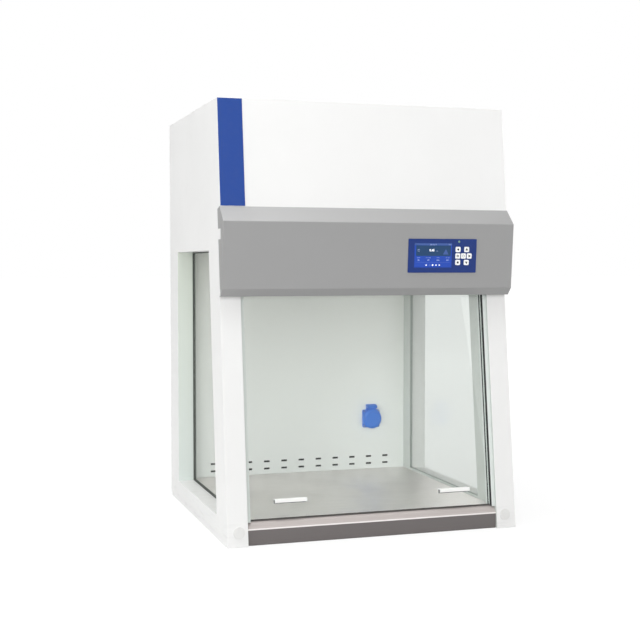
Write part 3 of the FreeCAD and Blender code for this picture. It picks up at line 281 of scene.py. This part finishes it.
@dataclass(frozen=True)
class LipSteel:
    """Satin sheet of the front lip: a pale band, a painted highlight along the crease, and a painted dark
    reflection on the face below it.
    """

    band: str = "#BFB7B4"
    crease_highlight: str = "#F4EFED"
    face: str = "#75706F"
    crease_height: float = 36.0 * MM
    crease_width: float = 1.5 * MM
    blend: float = 0.2 * MM
    shade: str = "#5F5B59"
    rub: str = "#8F8A86"

    def build(self, name: str) -> bpy.types.Material:
        """The material under that name."""
        canvas = Canvas(name)
        height = canvas.place("Z")
        low, high = self.crease_height - self.crease_width, self.crease_height + self.crease_width
        # Painted dark reflection on the face below the crease, and a painted highlight along the crease
        # itself.
        above = canvas.ramp(height, low, low + self.blend)
        tone = canvas.mix(above, linear(self.face), linear(self.crease_highlight))
        tone = canvas.mix(canvas.ramp(height, high, high + self.blend), tone, linear(self.band))
        streak = canvas.noise(0.0012, (0.012, 1.0, 1.0), 4.0)
        grained = canvas.mix(canvas.ramp(streak, 0.3, 0.7, 0.0, 0.12), tone, linear(self.shade))
        scuff = canvas.ramp(canvas.noise(0.02, (0.3, 1.0, 1.5), 5.0), 0.6, 0.8, 0.0, 0.14)
        return canvas.finish(
            Base_Color=canvas.mix(scuff, grained, linear(self.rub)),
            Metallic=0.3,
            Roughness=0.58,
            Normal=canvas.bump(streak, 0.00002),
        )


@dataclass(frozen=True)
class Plastic:
    """Moulded plastic or rubber: fine grain, slight mottling, and handling marks that dull it."""

    colour: str
    roughness: float = 0.45
    grain: float = 0.0011
    relief: float = 0.00002
    soiled: float = 0.06

    def build(self, name: str) -> bpy.types.Material:
        """The material under that name."""
        canvas = Canvas(name)
        marks_and_shade_mottle = canvas.ramp(canvas.noise(0.014, detail=5.0), 0.45, 0.75, 0.0, self.soiled)
        tone = canvas.mix(marks_and_shade_mottle, linear(self.colour), linear(HAND_MARKS))
        rough = canvas.ramp(canvas.noise(0.02), 0.3, 0.7, self.roughness - 0.05, self.roughness + 0.06)
        return canvas.finish(
            Base_Color=tone,
            Roughness=rough,
            Normal=canvas.bump(canvas.noise(self.grain, detail=2.0), self.relief),
        )


@dataclass(frozen=True)
class Grip:
    """White handle channel with painted shade in its finger hollow: the hollow lies near the sash's plane.
    """

    colour: str = "#F1F1EF"
    # The hollow colour is painted shade.
    hollow: str = "#5A5B59"
    lean: float = 0.12
    sash_foot: float = -0.31086
    hollow_depth: float = 13.1 * MM

    def build(self, name: str) -> bpy.types.Material:
        """The material under that name."""
        canvas = Canvas(name)
        plane = canvas.maths("MULTIPLY_ADD", canvas.place("Z"), self.lean, self.sash_foot)
        out = canvas.maths("SUBTRACT", plane, canvas.place("Y"))
        inside = canvas.ramp(out, self.hollow_depth, self.hollow_depth + 0.3 * MM, 1.0, 0.0)
        side = canvas.ramp(canvas.maths("ABSOLUTE", canvas.facing("X")), 0.5, 0.6, 1.0, 0.0)
        below = canvas.ramp(canvas.facing("Z"), 0.4, 0.5, 1.0, 0.0)
        # Painted shade on the hollow's inner, downward faces, mottled by noise.
        hollow_shade_mask = canvas.maths("MULTIPLY", canvas.maths("MULTIPLY", inside, side), below)
        marks_and_shade_mottle = canvas.ramp(canvas.noise(0.01, detail=4.0), 0.4, 0.7, 0.75, 1.0)
        tone = canvas.mix(canvas.maths("MULTIPLY", hollow_shade_mask, marks_and_shade_mottle), linear(self.colour), linear(self.hollow))
        return canvas.finish(
            Base_Color=tone,
            Roughness=canvas.ramp(canvas.noise(0.02), 0.3, 0.7, 0.38, 0.5),
            Normal=canvas.bump(canvas.noise(0.0011, detail=2.0), 0.00002),
        )


@dataclass(frozen=True)
class Glass:
    """Clear float glass: faint green through the pane, deep green at the cut edges."""

    tint: str = "#F2F5F3"
    edge: str = "#4F7A6A"
    edge_axes: str = "XZ"
    bare: float = 0.0

    def build(self, name: str) -> bpy.types.Material:
        """The material under that name."""
        canvas = Canvas(name)
        rim: Socket | None = None
        for axis in self.edge_axes:
            side = canvas.ramp(canvas.maths("ABSOLUTE", canvas.facing(axis)), 0.6, 0.8)
            rim = side if rim is None else canvas.maths("MAXIMUM", rim, side)
        tone = canvas.mix(rim, linear(self.tint), linear(self.edge))
        haze = canvas.ramp(canvas.noise(0.05, detail=5.0), 0.45, 0.8, 0.0, 0.03)
        body = canvas.add(
            "ShaderNodeBsdfPrincipled",
            {"Base Color": tone, "Roughness": haze, "IOR": 1.52, "Transmission Weight": 1.0},
        )
        # Shadow rays pass freely. The bare share neither mirrors nor bends light, for panes seen edge-on.
        shadow = canvas.add("ShaderNodeLightPath").outputs["Is Shadow Ray"]
        clear = canvas.add(
            "ShaderNodeBsdfTransparent",
            {"Color": canvas.mix(shadow, linear(self.tint), WHITE)},
        )
        share = canvas.maths("MAXIMUM", shadow, self.bare)
        blend = canvas.add("ShaderNodeMixShader", {0: share, 1: body.outputs[0], 2: clear.outputs[0]})
        canvas.tree.links.new(blend.outputs[0], canvas.output.inputs["Surface"])
        return canvas.material


@dataclass(frozen=True)
class Lit:
    """A printed or lit layer that glows a little, with a fine uneven brightness."""

    colour: str
    glow: float = 0.25
    roughness: float = 0.25

    def build(self, name: str) -> bpy.types.Material:
        """The material under that name."""
        canvas = Canvas(name)
        drift = canvas.ramp(canvas.noise(0.018), 0.3, 0.7, 0.0, 0.14)
        tone = canvas.mix(drift, linear(self.colour), linear("#1D2C55"))
        return canvas.finish(
            Base_Color=tone,
            Roughness=self.roughness,
            Emission_Color=tone,
            Emission_Strength=self.glow,
        )


@dataclass(frozen=True)
class Pleated:
    """Filter paper: fibres, and folds finer than the modelled ones across the pack."""

    colour: str
    fold: float = 0.006

    def build(self, name: str) -> bpy.types.Material:
        """The material under that name."""
        canvas = Canvas(name)
        fibre = canvas.noise(0.0016, (1.0, 1.0, 0.3), 5.0)
        tone = canvas.mix(canvas.ramp(fibre, 0.35, 0.7, 0.0, 0.25), linear(self.colour), linear("#A7A296"))
        inputs = {"Vector": canvas.coords, "Scale": WAVE_BAND / self.fold}
        wave = canvas.add("ShaderNodeTexWave", inputs, bands_direction="X")
        return canvas.finish(
            Base_Color=tone, Roughness=0.9, Normal=canvas.bump(wave.outputs["Fac"], 0.0006)
        )


Finish = Paint | Steel | LipSteel | Plastic | Grip | Glass | Lit | Pleated

FINISHES: dict[Slot, Finish] = {
    Slot.WHITE_PAINT: Paint("#F1F1F0"),
    Slot.GREY_PAINT: Paint("#9B9B9B", 0.36),
    Slot.BLUE_PLATE: Plastic("#062F79", 0.42, 0.003, 0.00001, 0.03),
    Slot.GALVANISED: Steel("#A9ADB0", 0.42, 0.004),
    Slot.SCREW_STEEL: Steel("#C9C9CB", 0.22),
    Slot.GLASS: Glass(),
    Slot.SCREEN_GLASS: Lit("#1F46A9"),
    Slot.LAMP_LENS: Lit("#7FA594", 0.1),
    Slot.BLACK_RUBBER: Plastic("#1B1C1C", 0.7, 0.0014, 0.00003, 0.12),
    Slot.WHITE_PLASTIC: Plastic("#EFEFEC"),
    Slot.BLUE_PLASTIC: Plastic("#2C76DB", 0.38),
    Slot.BLACK_PLASTIC: Plastic("#1E1E20", 0.5),
    Slot.BOARD: Plastic("#1D5B37", 0.4, 0.002, 0.00004),
    Slot.FILTER_METAL: Steel("#C3C6C8", 0.36, 0.003),
    Slot.FILTER_PAPER: Pleated("#EDEBE4"),
    Slot.MOTOR_PAINT: Paint("#2B2C2E", 0.5),
    Slot.LAMP_GLASS: Plastic("#F4F5F2", 0.2, 0.004, 0.000005, 0.0),
}


class Workshop:
    """Holds the built materials and dresses pieces with them."""

    def __init__(self) -> None:
        """Starts with no material built."""
        self.built: dict[str, bpy.types.Material] = {}

    def material(self, name: str, finish: Finish) -> bpy.types.Material:
        """The material of that name, built once."""
        if name not in self.built:
            self.built[name] = finish.build(name)
        return self.built[name]

    def dress(self, node: str, slot: Slot, edge: float, finish: Finish | None = None) -> None:
        """Gives a CAD node its finish and softened edges.

        Args:
            node: The CAD node's name.
            slot: The record's slot.
            edge: Width of the softened edges.
            finish: A finish of the node's own, where it has one.
        """
        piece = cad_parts[node]
        name = slot.value if finish is None else f"{slot.value}_{node.strip('_0123456789')}"
        piece.data.materials.clear()
        piece.data.materials.append(self.material(name, finish or FINISHES[slot]))
        weld = piece.modifiers.new("weld", "WELD")
        weld.merge_threshold = WELD_REACH
        bevel = piece.modifiers.new("edges", "BEVEL")
        bevel.width = edge
        bevel.segments = 2
        bevel.limit_method = "ANGLE"
        bevel.angle_limit = SHARP_ANGLE
        normals = piece.modifiers.new("normals", "WEIGHTED_NORMAL")
        normals.weight = 100
        normals.keep_sharp = True
        LOG.info("dressed %s as %s", node, name)

    def piece(
        self,
        name: str,
        points: np.ndarray,
        faces: list[list[int]],
        finish: Finish,
        slot: Slot,
        body: Body,
    ) -> None:
        """Makes a new piece that rides on a body.

        Args:
            name: The piece's name.
            points: Its vertices in the row frame.
            faces: Its faces as rows of vertex numbers.
            finish: What it is made of.
            slot: The record's slot; not used.
            body: The body that it rides on.
        """
        mesh = bpy.data.meshes.new(name)
        mesh.from_pydata(points.tolist(), [], faces)
        mesh.materials.append(self.material(name, finish))
        made = bpy.data.objects.new(name, mesh)
        bpy.context.scene.collection.objects.link(made)
        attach(made, body.value)
        LOG.info("made %s with %d faces", name, len(faces))


@dataclass
class Sheet:
    """Flat shapes drawn in a panel's plane, joined into one mesh."""

    origin: tuple[float, float, float]
    up: tuple[float, float, float]
    points: list[np.ndarray] = field(default_factory=list)
    faces: list[list[int]] = field(default_factory=list)
    count: int = 0

    def polygon(self, outline: np.ndarray) -> None:
        """Adds one filled outline of (x, y) rows, anticlockwise."""
        self.faces.append(list(range(self.count, self.count + len(outline))))
        self.points.append(outline)
        self.count += len(outline)

    def bar(self, x: float, y: float, width: float, height: float) -> None:
        """Adds a rectangle about its centre."""
        corners = np.array([(-1, -1), (1, -1), (1, 1), (-1, 1)]) * (width / 2, height / 2)
        self.polygon(corners + (x, y))

    def round(self, x: float, y: float, radius: float, sides: int = 28, turn: float = 0.0) -> None:
        """Adds a disc, or a regular shape of few sides whose first corner is turned from X."""
        angles = turn + np.arange(sides) * 2 * math.pi / sides
        self.polygon(np.stack([x + radius * np.cos(angles), y + radius * np.sin(angles)], axis=1))

    def ring(self, x: float, y: float, inner: float, outer: float, sides: int = 28) -> None:
        """Adds a ring: the vertices go round as a grid of two rows, radius times (cos, sin)."""
        angles = np.arange(sides) * 2 * math.pi / sides
        radii = np.array([inner, outer])[:, None, None]
        rows = radii * np.stack([np.cos(angles), np.sin(angles)], axis=1)[None] + (x, y)
        here = np.arange(sides) + self.count
        after = np.roll(here, -1)
        self.faces += np.stack([here, here + sides, after + sides, after], axis=1).tolist()
        self.points.append(rows.reshape(-1, 2))
        self.count += 2 * sides

    def text(self, words: str, x: float, y: float, height: float, swell: float = 0.0) -> None:
        """Adds plain lettering, centred on a point, with capitals of that height, bolder by swell."""
        curve = bpy.data.curves.new("lettering", "FONT")
        curve.body = words
        curve.size = height / CAPITAL_SHARE
        curve.align_x = "CENTER"
        curve.align_y = "CENTER"
        curve.resolution_u = 2
        curve.offset = swell
        holder = bpy.data.objects.new("lettering", curve)
        mesh = bpy.data.meshes.new_from_object(holder)
        flat = np.empty(len(mesh.vertices) * 3, np.float32)
        mesh.vertices.foreach_get("co", flat)
        self.faces += [[v + self.count for v in face.vertices] for face in mesh.polygons]
        self.points.append(flat.reshape(-1, 3)[:, :2] + (x, y))
        self.count += len(mesh.vertices)
        bpy.data.objects.remove(holder)
        bpy.data.curves.remove(curve)
        bpy.data.meshes.remove(mesh)

    def raised(self, height: float) -> np.ndarray:
        """The points in the row frame at that height: origin + x right + y up + height out."""
        up = np.array(self.up)
        flat = np.concatenate(self.points)
        across, along = flat[:, :1] * RIGHT, flat[:, 1:] * up
        return np.array(self.origin) + across + along + height * np.cross(RIGHT, up)


@dataclass
class Shell:
    """Painted sheet-metal body: side walls, roof, front, back, base and caps."""

    sheet_edge: float = 0.5 * MM
    small_edge: float = 0.3 * MM
    cap_edge: float = 0.4 * MM
    strip: Plastic = Plastic("#104092", 0.5, 0.003, 0.00001, 0.03)
    painted: tuple[str, ...] = ("top_panel", "front_baffle", "ceiling_diffuser", "exhaust_grille")
    # These are copies of the white paint toned for how light falls on them, as painted light and shade:
    # upper_front_panel darker, the rails, liners and back wall greyer and greener from the shade and the
    # light through the glass, the back wall lighter towards its head, side_panel_left's window reveal a
    # green-grey painted shade, and rear_panel's inside painted dark as the duct's shadow.
    special: tuple[tuple[str, Paint], ...] = (
        ("upper_front_panel", Paint("#EBEBEA")),
        ("guide_rail_left", Paint("#CBD1CD")),
        ("guide_rail_right", Paint("#DDE3E0")),
        ("interior_back_wall", Paint("#EEF1EF", painted_shading=("#EEF1EF", "#F9F9F5"), painted_shading_from=0.2)),
        ("inner_liner_left", Paint("#C6CBC7")),
        ("inner_liner_right", Paint("#C6CBC7")),
        ("side_panel_left", Paint("#E9E9E8", painted_shading=("#D4DCD8", "#DBE2D7"), painted_shading_from=0.2)),
        ("side_panel_right", Paint("#EAEAE9")),
        ("rear_panel", Paint("#F1F1F0", painted_shading=("#2E2F2E", "#2E2F2E"), painted_shading_from=0.3)),
    )

    def build(self, shop: Workshop) -> None:
        """Dresses the body's sheets."""
        for node in self.painted:
            shop.dress(node, Slot.WHITE_PAINT, self.sheet_edge)
        for node, finish in self.special:
            shop.dress(node, Slot.WHITE_PAINT, self.sheet_edge, finish)
        shop.dress("console_cover", Slot.GREY_PAINT, self.sheet_edge)
        shop.dress("trim_strip", Slot.BLUE_PLATE, self.small_edge, self.strip)
        shop.dress("base_pan", Slot.GALVANISED, self.sheet_edge)
        shop.dress("rear_panel_screws", Slot.SCREW_STEEL, self.small_edge)
        for side in ("left", "right"):
            # The caps' white plastic is toned darker than the column as painted shade.
            shop.dress(f"column_cap_{side}", Slot.WHITE_PLASTIC, self.cap_edge, Plastic("#DFDFDD", 0.5))


@dataclass
class Glazing:
    """Side windows and the sliding sash, with their rubber and handles."""

    pane_edge: float = 0.6 * MM
    gasket_edge: float = 0.5 * MM
    handle_edge: float = 0.4 * MM
    seal_edge: float = 0.3 * MM

    def build(self, shop: Workshop) -> None:
        """Dresses the panes, the seals and the handles."""
        # Each side's pane and gasket are toned copies of one glass and one rubber, as painted light and
        # shade: the left pane clearer with a darker gasket, the right pane greyer with a lighter gasket.
        for side, tint, rubber in (("left", "#FBFCFB", "#50544F"), ("right", "#F5F6F5", "#AEB5B0")):
            glass = Glass(tint, edge_axes="YZ", bare=0.92)
            shop.dress(f"window_glass_{side}", Slot.GLASS, self.pane_edge, glass)
            shop.dress(f"window_gasket_{side}", Slot.BLACK_RUBBER, self.gasket_edge, Plastic(rubber, 0.7))
            shop.dress(f"sash_handle_{side}", Slot.WHITE_PLASTIC, self.handle_edge, Grip())
        shop.dress("sash_glass", Slot.GLASS, self.pane_edge)
        shop.dress("sash_seal", Slot.BLACK_RUBBER, self.seal_edge, Plastic("#504E4B", 0.7))
        shop.dress("rail_seals", Slot.BLACK_RUBBER, self.seal_edge)


@dataclass
class Chamber:
    """Worktop, lip, wall socket and the lamps inside."""

    sheet_edge: float = 0.5 * MM
    moulded_edge: float = 0.4 * MM
    fastener_edge: float = 0.2 * MM
    holder_edge: float = 0.6 * MM

    def build(self, shop: Workshop) -> None:
        """Dresses what stands in the chamber."""
        shop.dress("worktop", Slot.STAINLESS, self.sheet_edge, Steel("#EFEAE8", 0.42))
        shop.dress("front_lip", Slot.STAINLESS, self.moulded_edge, LipSteel())
        for node in ("socket_base", "socket_lid"):
            shop.dress(node, Slot.BLUE_PLASTIC, self.moulded_edge)
        for node in ("socket_hinge_pin", "socket_screws"):
            shop.dress(node, Slot.SCREW_STEEL, self.fastener_edge)
        for lamp in ("work", "uv"):
            shop.dress(f"{lamp}_lamp_tube", Slot.LAMP_GLASS, self.moulded_edge)
            shop.dress(f"{lamp}_lamp_holders", Slot.WHITE_PLASTIC, self.holder_edge)


@dataclass
class ControlPanel:
    """Bezel, screen, keys, lamp and board, with the screen's picture and the keys' signs."""

    origin: tuple[float, float, float] = (0.171, -0.30002, 0.6428)
    up: tuple[float, float, float] = (0.0, -0.0799, 0.9968)
    screen_x: float = -23.5 * MM
    screen_y: float = 0.8 * MM
    screen_front: float = 1.3 * MM
    key_front: float = 2.6 * MM
    layer: float = 0.06 * MM
    sign: float = 3.2 * MM
    plate_edge: float = 0.3 * MM
    fine_edge: float = 0.2 * MM
    key_edge: float = 0.5 * MM
    readings: tuple[tuple[str, str], ...] = (
        ("LAMP", "ON"), ("UV LAMP", "OFF"), ("TIME", "00:30"), ("FILTER", "100 %"),
    )
    # The keys' centres in millimetres from the panel's origin, row by row
    keys: tuple[tuple[float, float], ...] = (
        (38.6, 14.9), (60.5, 14.9), (38.3, -0.2), (52.8, -0.2), (67.5, -0.2), (38.6, -15.3), (60.5, -15.3),
    )

    def sheet(self, x: float, y: float) -> Sheet:
        """An empty sheet whose centre is at that place on the panel."""
        origin = np.array(self.origin) + x * RIGHT + y * np.array(self.up)
        return Sheet(tuple(origin), self.up)

    def picture(self, shop: Workshop) -> None:
        """Draws the screen's picture in layers: a header, a gauge field, symbols, lettering and figures."""
        place = (self.screen_x, self.screen_y)
        gauge, header, faint, dim, bright = (self.sheet(*place) for _ in range(5))
        gauge.bar(0.5 * MM, 11.0 * MM, 87 * MM, 24.4 * MM)
        header.bar(0.0, 25.9 * MM, 94 * MM, 4.7 * MM)
        header.round(31.5 * MM, 6.4 * MM, 8.2 * MM, 3, math.pi / 2)
        bright.text("0.45", -3.5 * MM, 11.8 * MM, 5.2 * MM, 0.25 * MM)
        dim.text("m/s", 9.5 * MM, 10.3 * MM, 2.2 * MM)
        dim.text("AIR FLOW", 0.0, 24.6 * MM, 2.6 * MM)
        dim.text("12:00", 41 * MM, 24.9 * MM, 2.0 * MM)
        dim.text("FAN", -37 * MM, 13.6 * MM, 2.2 * MM)
        dim.text("ON", -37 * MM, 9.8 * MM, 2.2 * MM)
        for index, (title, state) in enumerate(self.readings):
            x = (-36.6 + 24.4 * index) * MM
            faint.text(title, x, -5.4 * MM, 2.3 * MM, 0.1 * MM)
            dim.text(state, x, -11.0 * MM, 2.1 * MM, 0.15 * MM)
        faint.bar(0.0, -15.8 * MM, 84 * MM, 0.25 * MM)
        for x, radius in ((-17.0, 1.5), (-0.8, 2.0), (7.8, 1.6), (16.0, 1.6)):
            bright.round(x * MM, -22.4 * MM, radius * MM)
        faint.ring(-8.2 * MM, -22.4 * MM, 1.0 * MM, 1.5 * MM)
        layers = (
            ("screen_gauge", gauge, Lit("#1C3F64"), self.layer),
            ("screen_header", header, Lit("#3F5A98"), 2 * self.layer),
            ("screen_symbols", faint, Lit("#7088C8"), 3 * self.layer),
            ("screen_lettering", dim, Lit("#A9BCE6"), 3 * self.layer),
            ("screen_figures", bright, Lit("#F4F8FF", 0.6), 3 * self.layer),
        )
        for name, sheet, finish, height in layers:
            points = sheet.raised(self.screen_front + height)
            shop.piece(name, points, sheet.faces, finish, Slot.SCREEN_GLASS, Body.CABINET)

    def signs(self, shop: Workshop) -> None:
        """Prints a plain sign on each key: arrows, a drop, a lamp and a ring."""
        ink, pale = Plastic("#17191B", 0.5), Plastic("#8D938F", 0.5)
        turns = {1: math.pi / 2, 4: 0.0, 6: -math.pi / 2}
        for index, (x, y) in enumerate(self.keys):
            sheet = self.sheet(x * MM, y * MM)
            finish = ink
            if index in turns:
                sheet.round(0.0, 0.0, 1.2 * self.sign, 3, turns[index])
            elif index == 3:
                sheet.ring(0.0, 0.0, 0.7 * self.sign, self.sign)
                finish = pale
            elif index == 2:
                sheet.ring(0.0, 0.0, 0.55 * self.sign, 0.85 * self.sign)
                sheet.round(0.0, 0.0, 0.35 * self.sign)
            elif index == 0:
                for turn in range(4):
                    angle = turn * math.pi / 2
                    sheet.round(math.cos(angle) * MM, math.sin(angle) * MM, 0.45 * self.sign)
            else:
                sheet.round(0.0, 0.0, 0.8 * self.sign)
            points = sheet.raised(self.key_front + self.layer)
            body = Body[f"KEY_{index + 1}"]
            shop.piece(f"key_{index + 1}_sign", points, sheet.faces, finish, Slot.WHITE_PLASTIC, body)

    def build(self, shop: Workshop) -> None:
        """Dresses the panel's nodes and draws its picture and signs."""
        shop.dress("control_bezel", Slot.BLUE_PLATE, self.plate_edge)
        shop.dress("display_module", Slot.SCREEN_GLASS, self.fine_edge)
        shop.dress("status_lamp", Slot.LAMP_LENS, self.plate_edge)
        shop.dress("control_board", Slot.BOARD, self.fine_edge)
        shop.dress("key_switches", Slot.BLACK_PLASTIC, self.fine_edge)
        cap = Plastic("#FCFDFD", 0.4, soiled=0.02)
        for index in range(len(self.keys)):
            shop.dress(f"key_{index + 1}", Slot.WHITE_PLASTIC, self.key_edge, cap)
        self.picture(shop)
        self.signs(shop)


@dataclass
class AirSystem:
    """Filters, blower, impeller and motor behind the front, and the inlet at the back."""

    edge: float = 0.4 * MM
    parts: tuple[tuple[str, Slot], ...] = (
        ("supply_filter_frame", Slot.FILTER_METAL),
        ("exhaust_filter_frame", Slot.FILTER_METAL),
        ("supply_filter_pack", Slot.FILTER_PAPER),
        ("exhaust_filter_pack", Slot.FILTER_PAPER),
        ("blower_housing", Slot.GALVANISED),
        ("impeller", Slot.FILTER_METAL),
        ("motor", Slot.MOTOR_PAINT),
        ("motor_shaft", Slot.SCREW_STEEL),
        ("power_inlet", Slot.BLACK_PLASTIC),
        ("fuse_drawer", Slot.BLACK_PLASTIC),
    )

    def build(self, shop: Workshop) -> None:
        """Dresses the air system's nodes."""
        for node, slot in self.parts:
            shop.dress(node, slot, self.edge)


@dataclass
class Studio:
    """Camera, floor, world and soft lights."""

    eye: tuple[float, float, float] = (-0.94035, -2.82407, 0.617)
    azimuth: float = -17.845
    elevation: float = 2.582
    lens: float = 66.26
    sensor: float = 36.0
    ambient: float = 0.35
    floor_bounce: float = 0.6
    floor_seen: float = 0.15
    lift_near: float = 0.82
    lift_far: float = 0.95
    lift_span: tuple[float, float] = (1.0, 5.0)
    floor_reach: float = 60.0
    aim: tuple[float, float, float] = (0.0, 0.0, 0.5)
    lamp_size: float = 3.0
    lamps: tuple[tuple[str, tuple[float, float, float], float], ...] = (
        ("top", (-0.5, -0.6, 4.6), 145.0),
        ("front", (-1.8, -4.0, 1.4), 80.0),
        ("side", (-4.4, -0.6, 1.4), 87.0),
        ("right", (3.2, -3.2, 1.2), 24.0),
        ("back", (1.0, 4.4, 3.2), 60.0),
    )

    def camera(self) -> None:
        """Sets the camera that matches the photo."""
        a, e = math.radians(self.azimuth), math.radians(self.elevation)
        back = Vector((math.sin(a) * math.cos(e), -math.cos(a) * math.cos(e), math.sin(e)))
        data = bpy.data.cameras.new("camera")
        data.lens = self.lens
        data.sensor_width = self.sensor
        camera = bpy.data.objects.new("camera", data)
        camera.location = self.eye
        camera.rotation_mode = "QUATERNION"
        camera.rotation_quaternion = (-back).to_track_quat("-Z", "Y")
        bpy.context.scene.collection.objects.link(camera)
        bpy.context.scene.camera = camera

    def world(self) -> None:
        """White where it is seen directly or through glass, and a softer light elsewhere."""
        world = bpy.data.worlds.new("world")
        world.use_nodes = True
        tree = world.node_tree
        tree.nodes.clear()
        path = add_node(tree, "ShaderNodeLightPath").outputs
        rays = {0: path["Is Camera Ray"], 1: path["Is Transmission Ray"]}
        seen = add_node(tree, "ShaderNodeMath", rays, operation="MAXIMUM").outputs[0]
        levels = {"Value": seen, "To Min": self.ambient, "To Max": 1.0}
        strength = add_node(tree, "ShaderNodeMapRange", levels).outputs["Result"]
        background = add_node(tree, "ShaderNodeBackground", {"Color": WHITE, "Strength": strength})
        add_node(tree, "ShaderNodeOutputWorld", {"Surface": background.outputs[0]})
        bpy.context.scene.world = world

    def floor(self) -> None:
        """A wide floor that reads white where it is seen, and still takes the cabinet's soft shadow."""
        reach = self.floor_reach
        mesh = bpy.data.meshes.new("floor")
        corners = [(-reach, -reach, 0.0), (reach, -reach, 0.0), (reach, reach, 0.0), (-reach, reach, 0.0)]
        mesh.from_pydata(corners, [], [(0, 1, 2, 3)])
        canvas = Canvas("floor")
        path = canvas.add("ShaderNodeLightPath").outputs
        seen = canvas.maths("MAXIMUM", path["Is Camera Ray"], path["Is Transmission Ray"])
        tone = canvas.ramp(seen, 0.0, 1.0, self.floor_bounce, self.floor_seen)
        grey = canvas.add("ShaderNodeCombineColor", {0: tone, 1: tone, 2: tone}).outputs[0]
        away = canvas.add("ShaderNodeVectorMath", {0: canvas.coords}, operation="LENGTH").outputs["Value"]
        glow = canvas.ramp(away, *self.lift_span, self.lift_near, self.lift_far)
        lift = canvas.maths("MULTIPLY", seen, glow)
        mesh.materials.append(
            canvas.finish(Base_Color=grey, Roughness=0.95, Emission_Color=WHITE, Emission_Strength=lift)
        )
        floor = bpy.data.objects.new("floor", mesh)
        bpy.context.scene.collection.objects.link(floor)

    def lamp(self, name: str, place: tuple[float, float, float], power: float) -> None:
        """Adds a square lamp that looks at the middle of the cabinet.

        Args:
            name: The lamp's name.
            place: Its middle, in metres.
            power: Its power in watts.
        """
        data = bpy.data.lights.new(name, "AREA")
        data.energy = power
        data.size = self.lamp_size
        lamp = bpy.data.objects.new(name, data)
        lamp.location = place
        away = Vector(place) - Vector(self.aim)
        lamp.rotation_mode = "QUATERNION"
        lamp.rotation_quaternion = (-away).to_track_quat("-Z", "Y")
        bpy.context.scene.collection.objects.link(lamp)

    def build(self) -> None:
        """Sets up the studio."""
        bpy.context.scene.view_settings.view_transform = "Standard"
        self.camera()
        self.world()
        self.floor()
        for name, place, power in self.lamps:
            self.lamp(name, place, power)


def main() -> None:
    """Builds every sub-assembly in order."""
    logging.basicConfig(level=logging.INFO)
    shop = Workshop()
    for part in (Shell(), Glazing(), Chamber(), ControlPanel(), AirSystem()):
        part.build(shop)
        LOG.info("built %s", type(part).__name__)
    Studio().build()


if __name__ == "__main__":
    main()
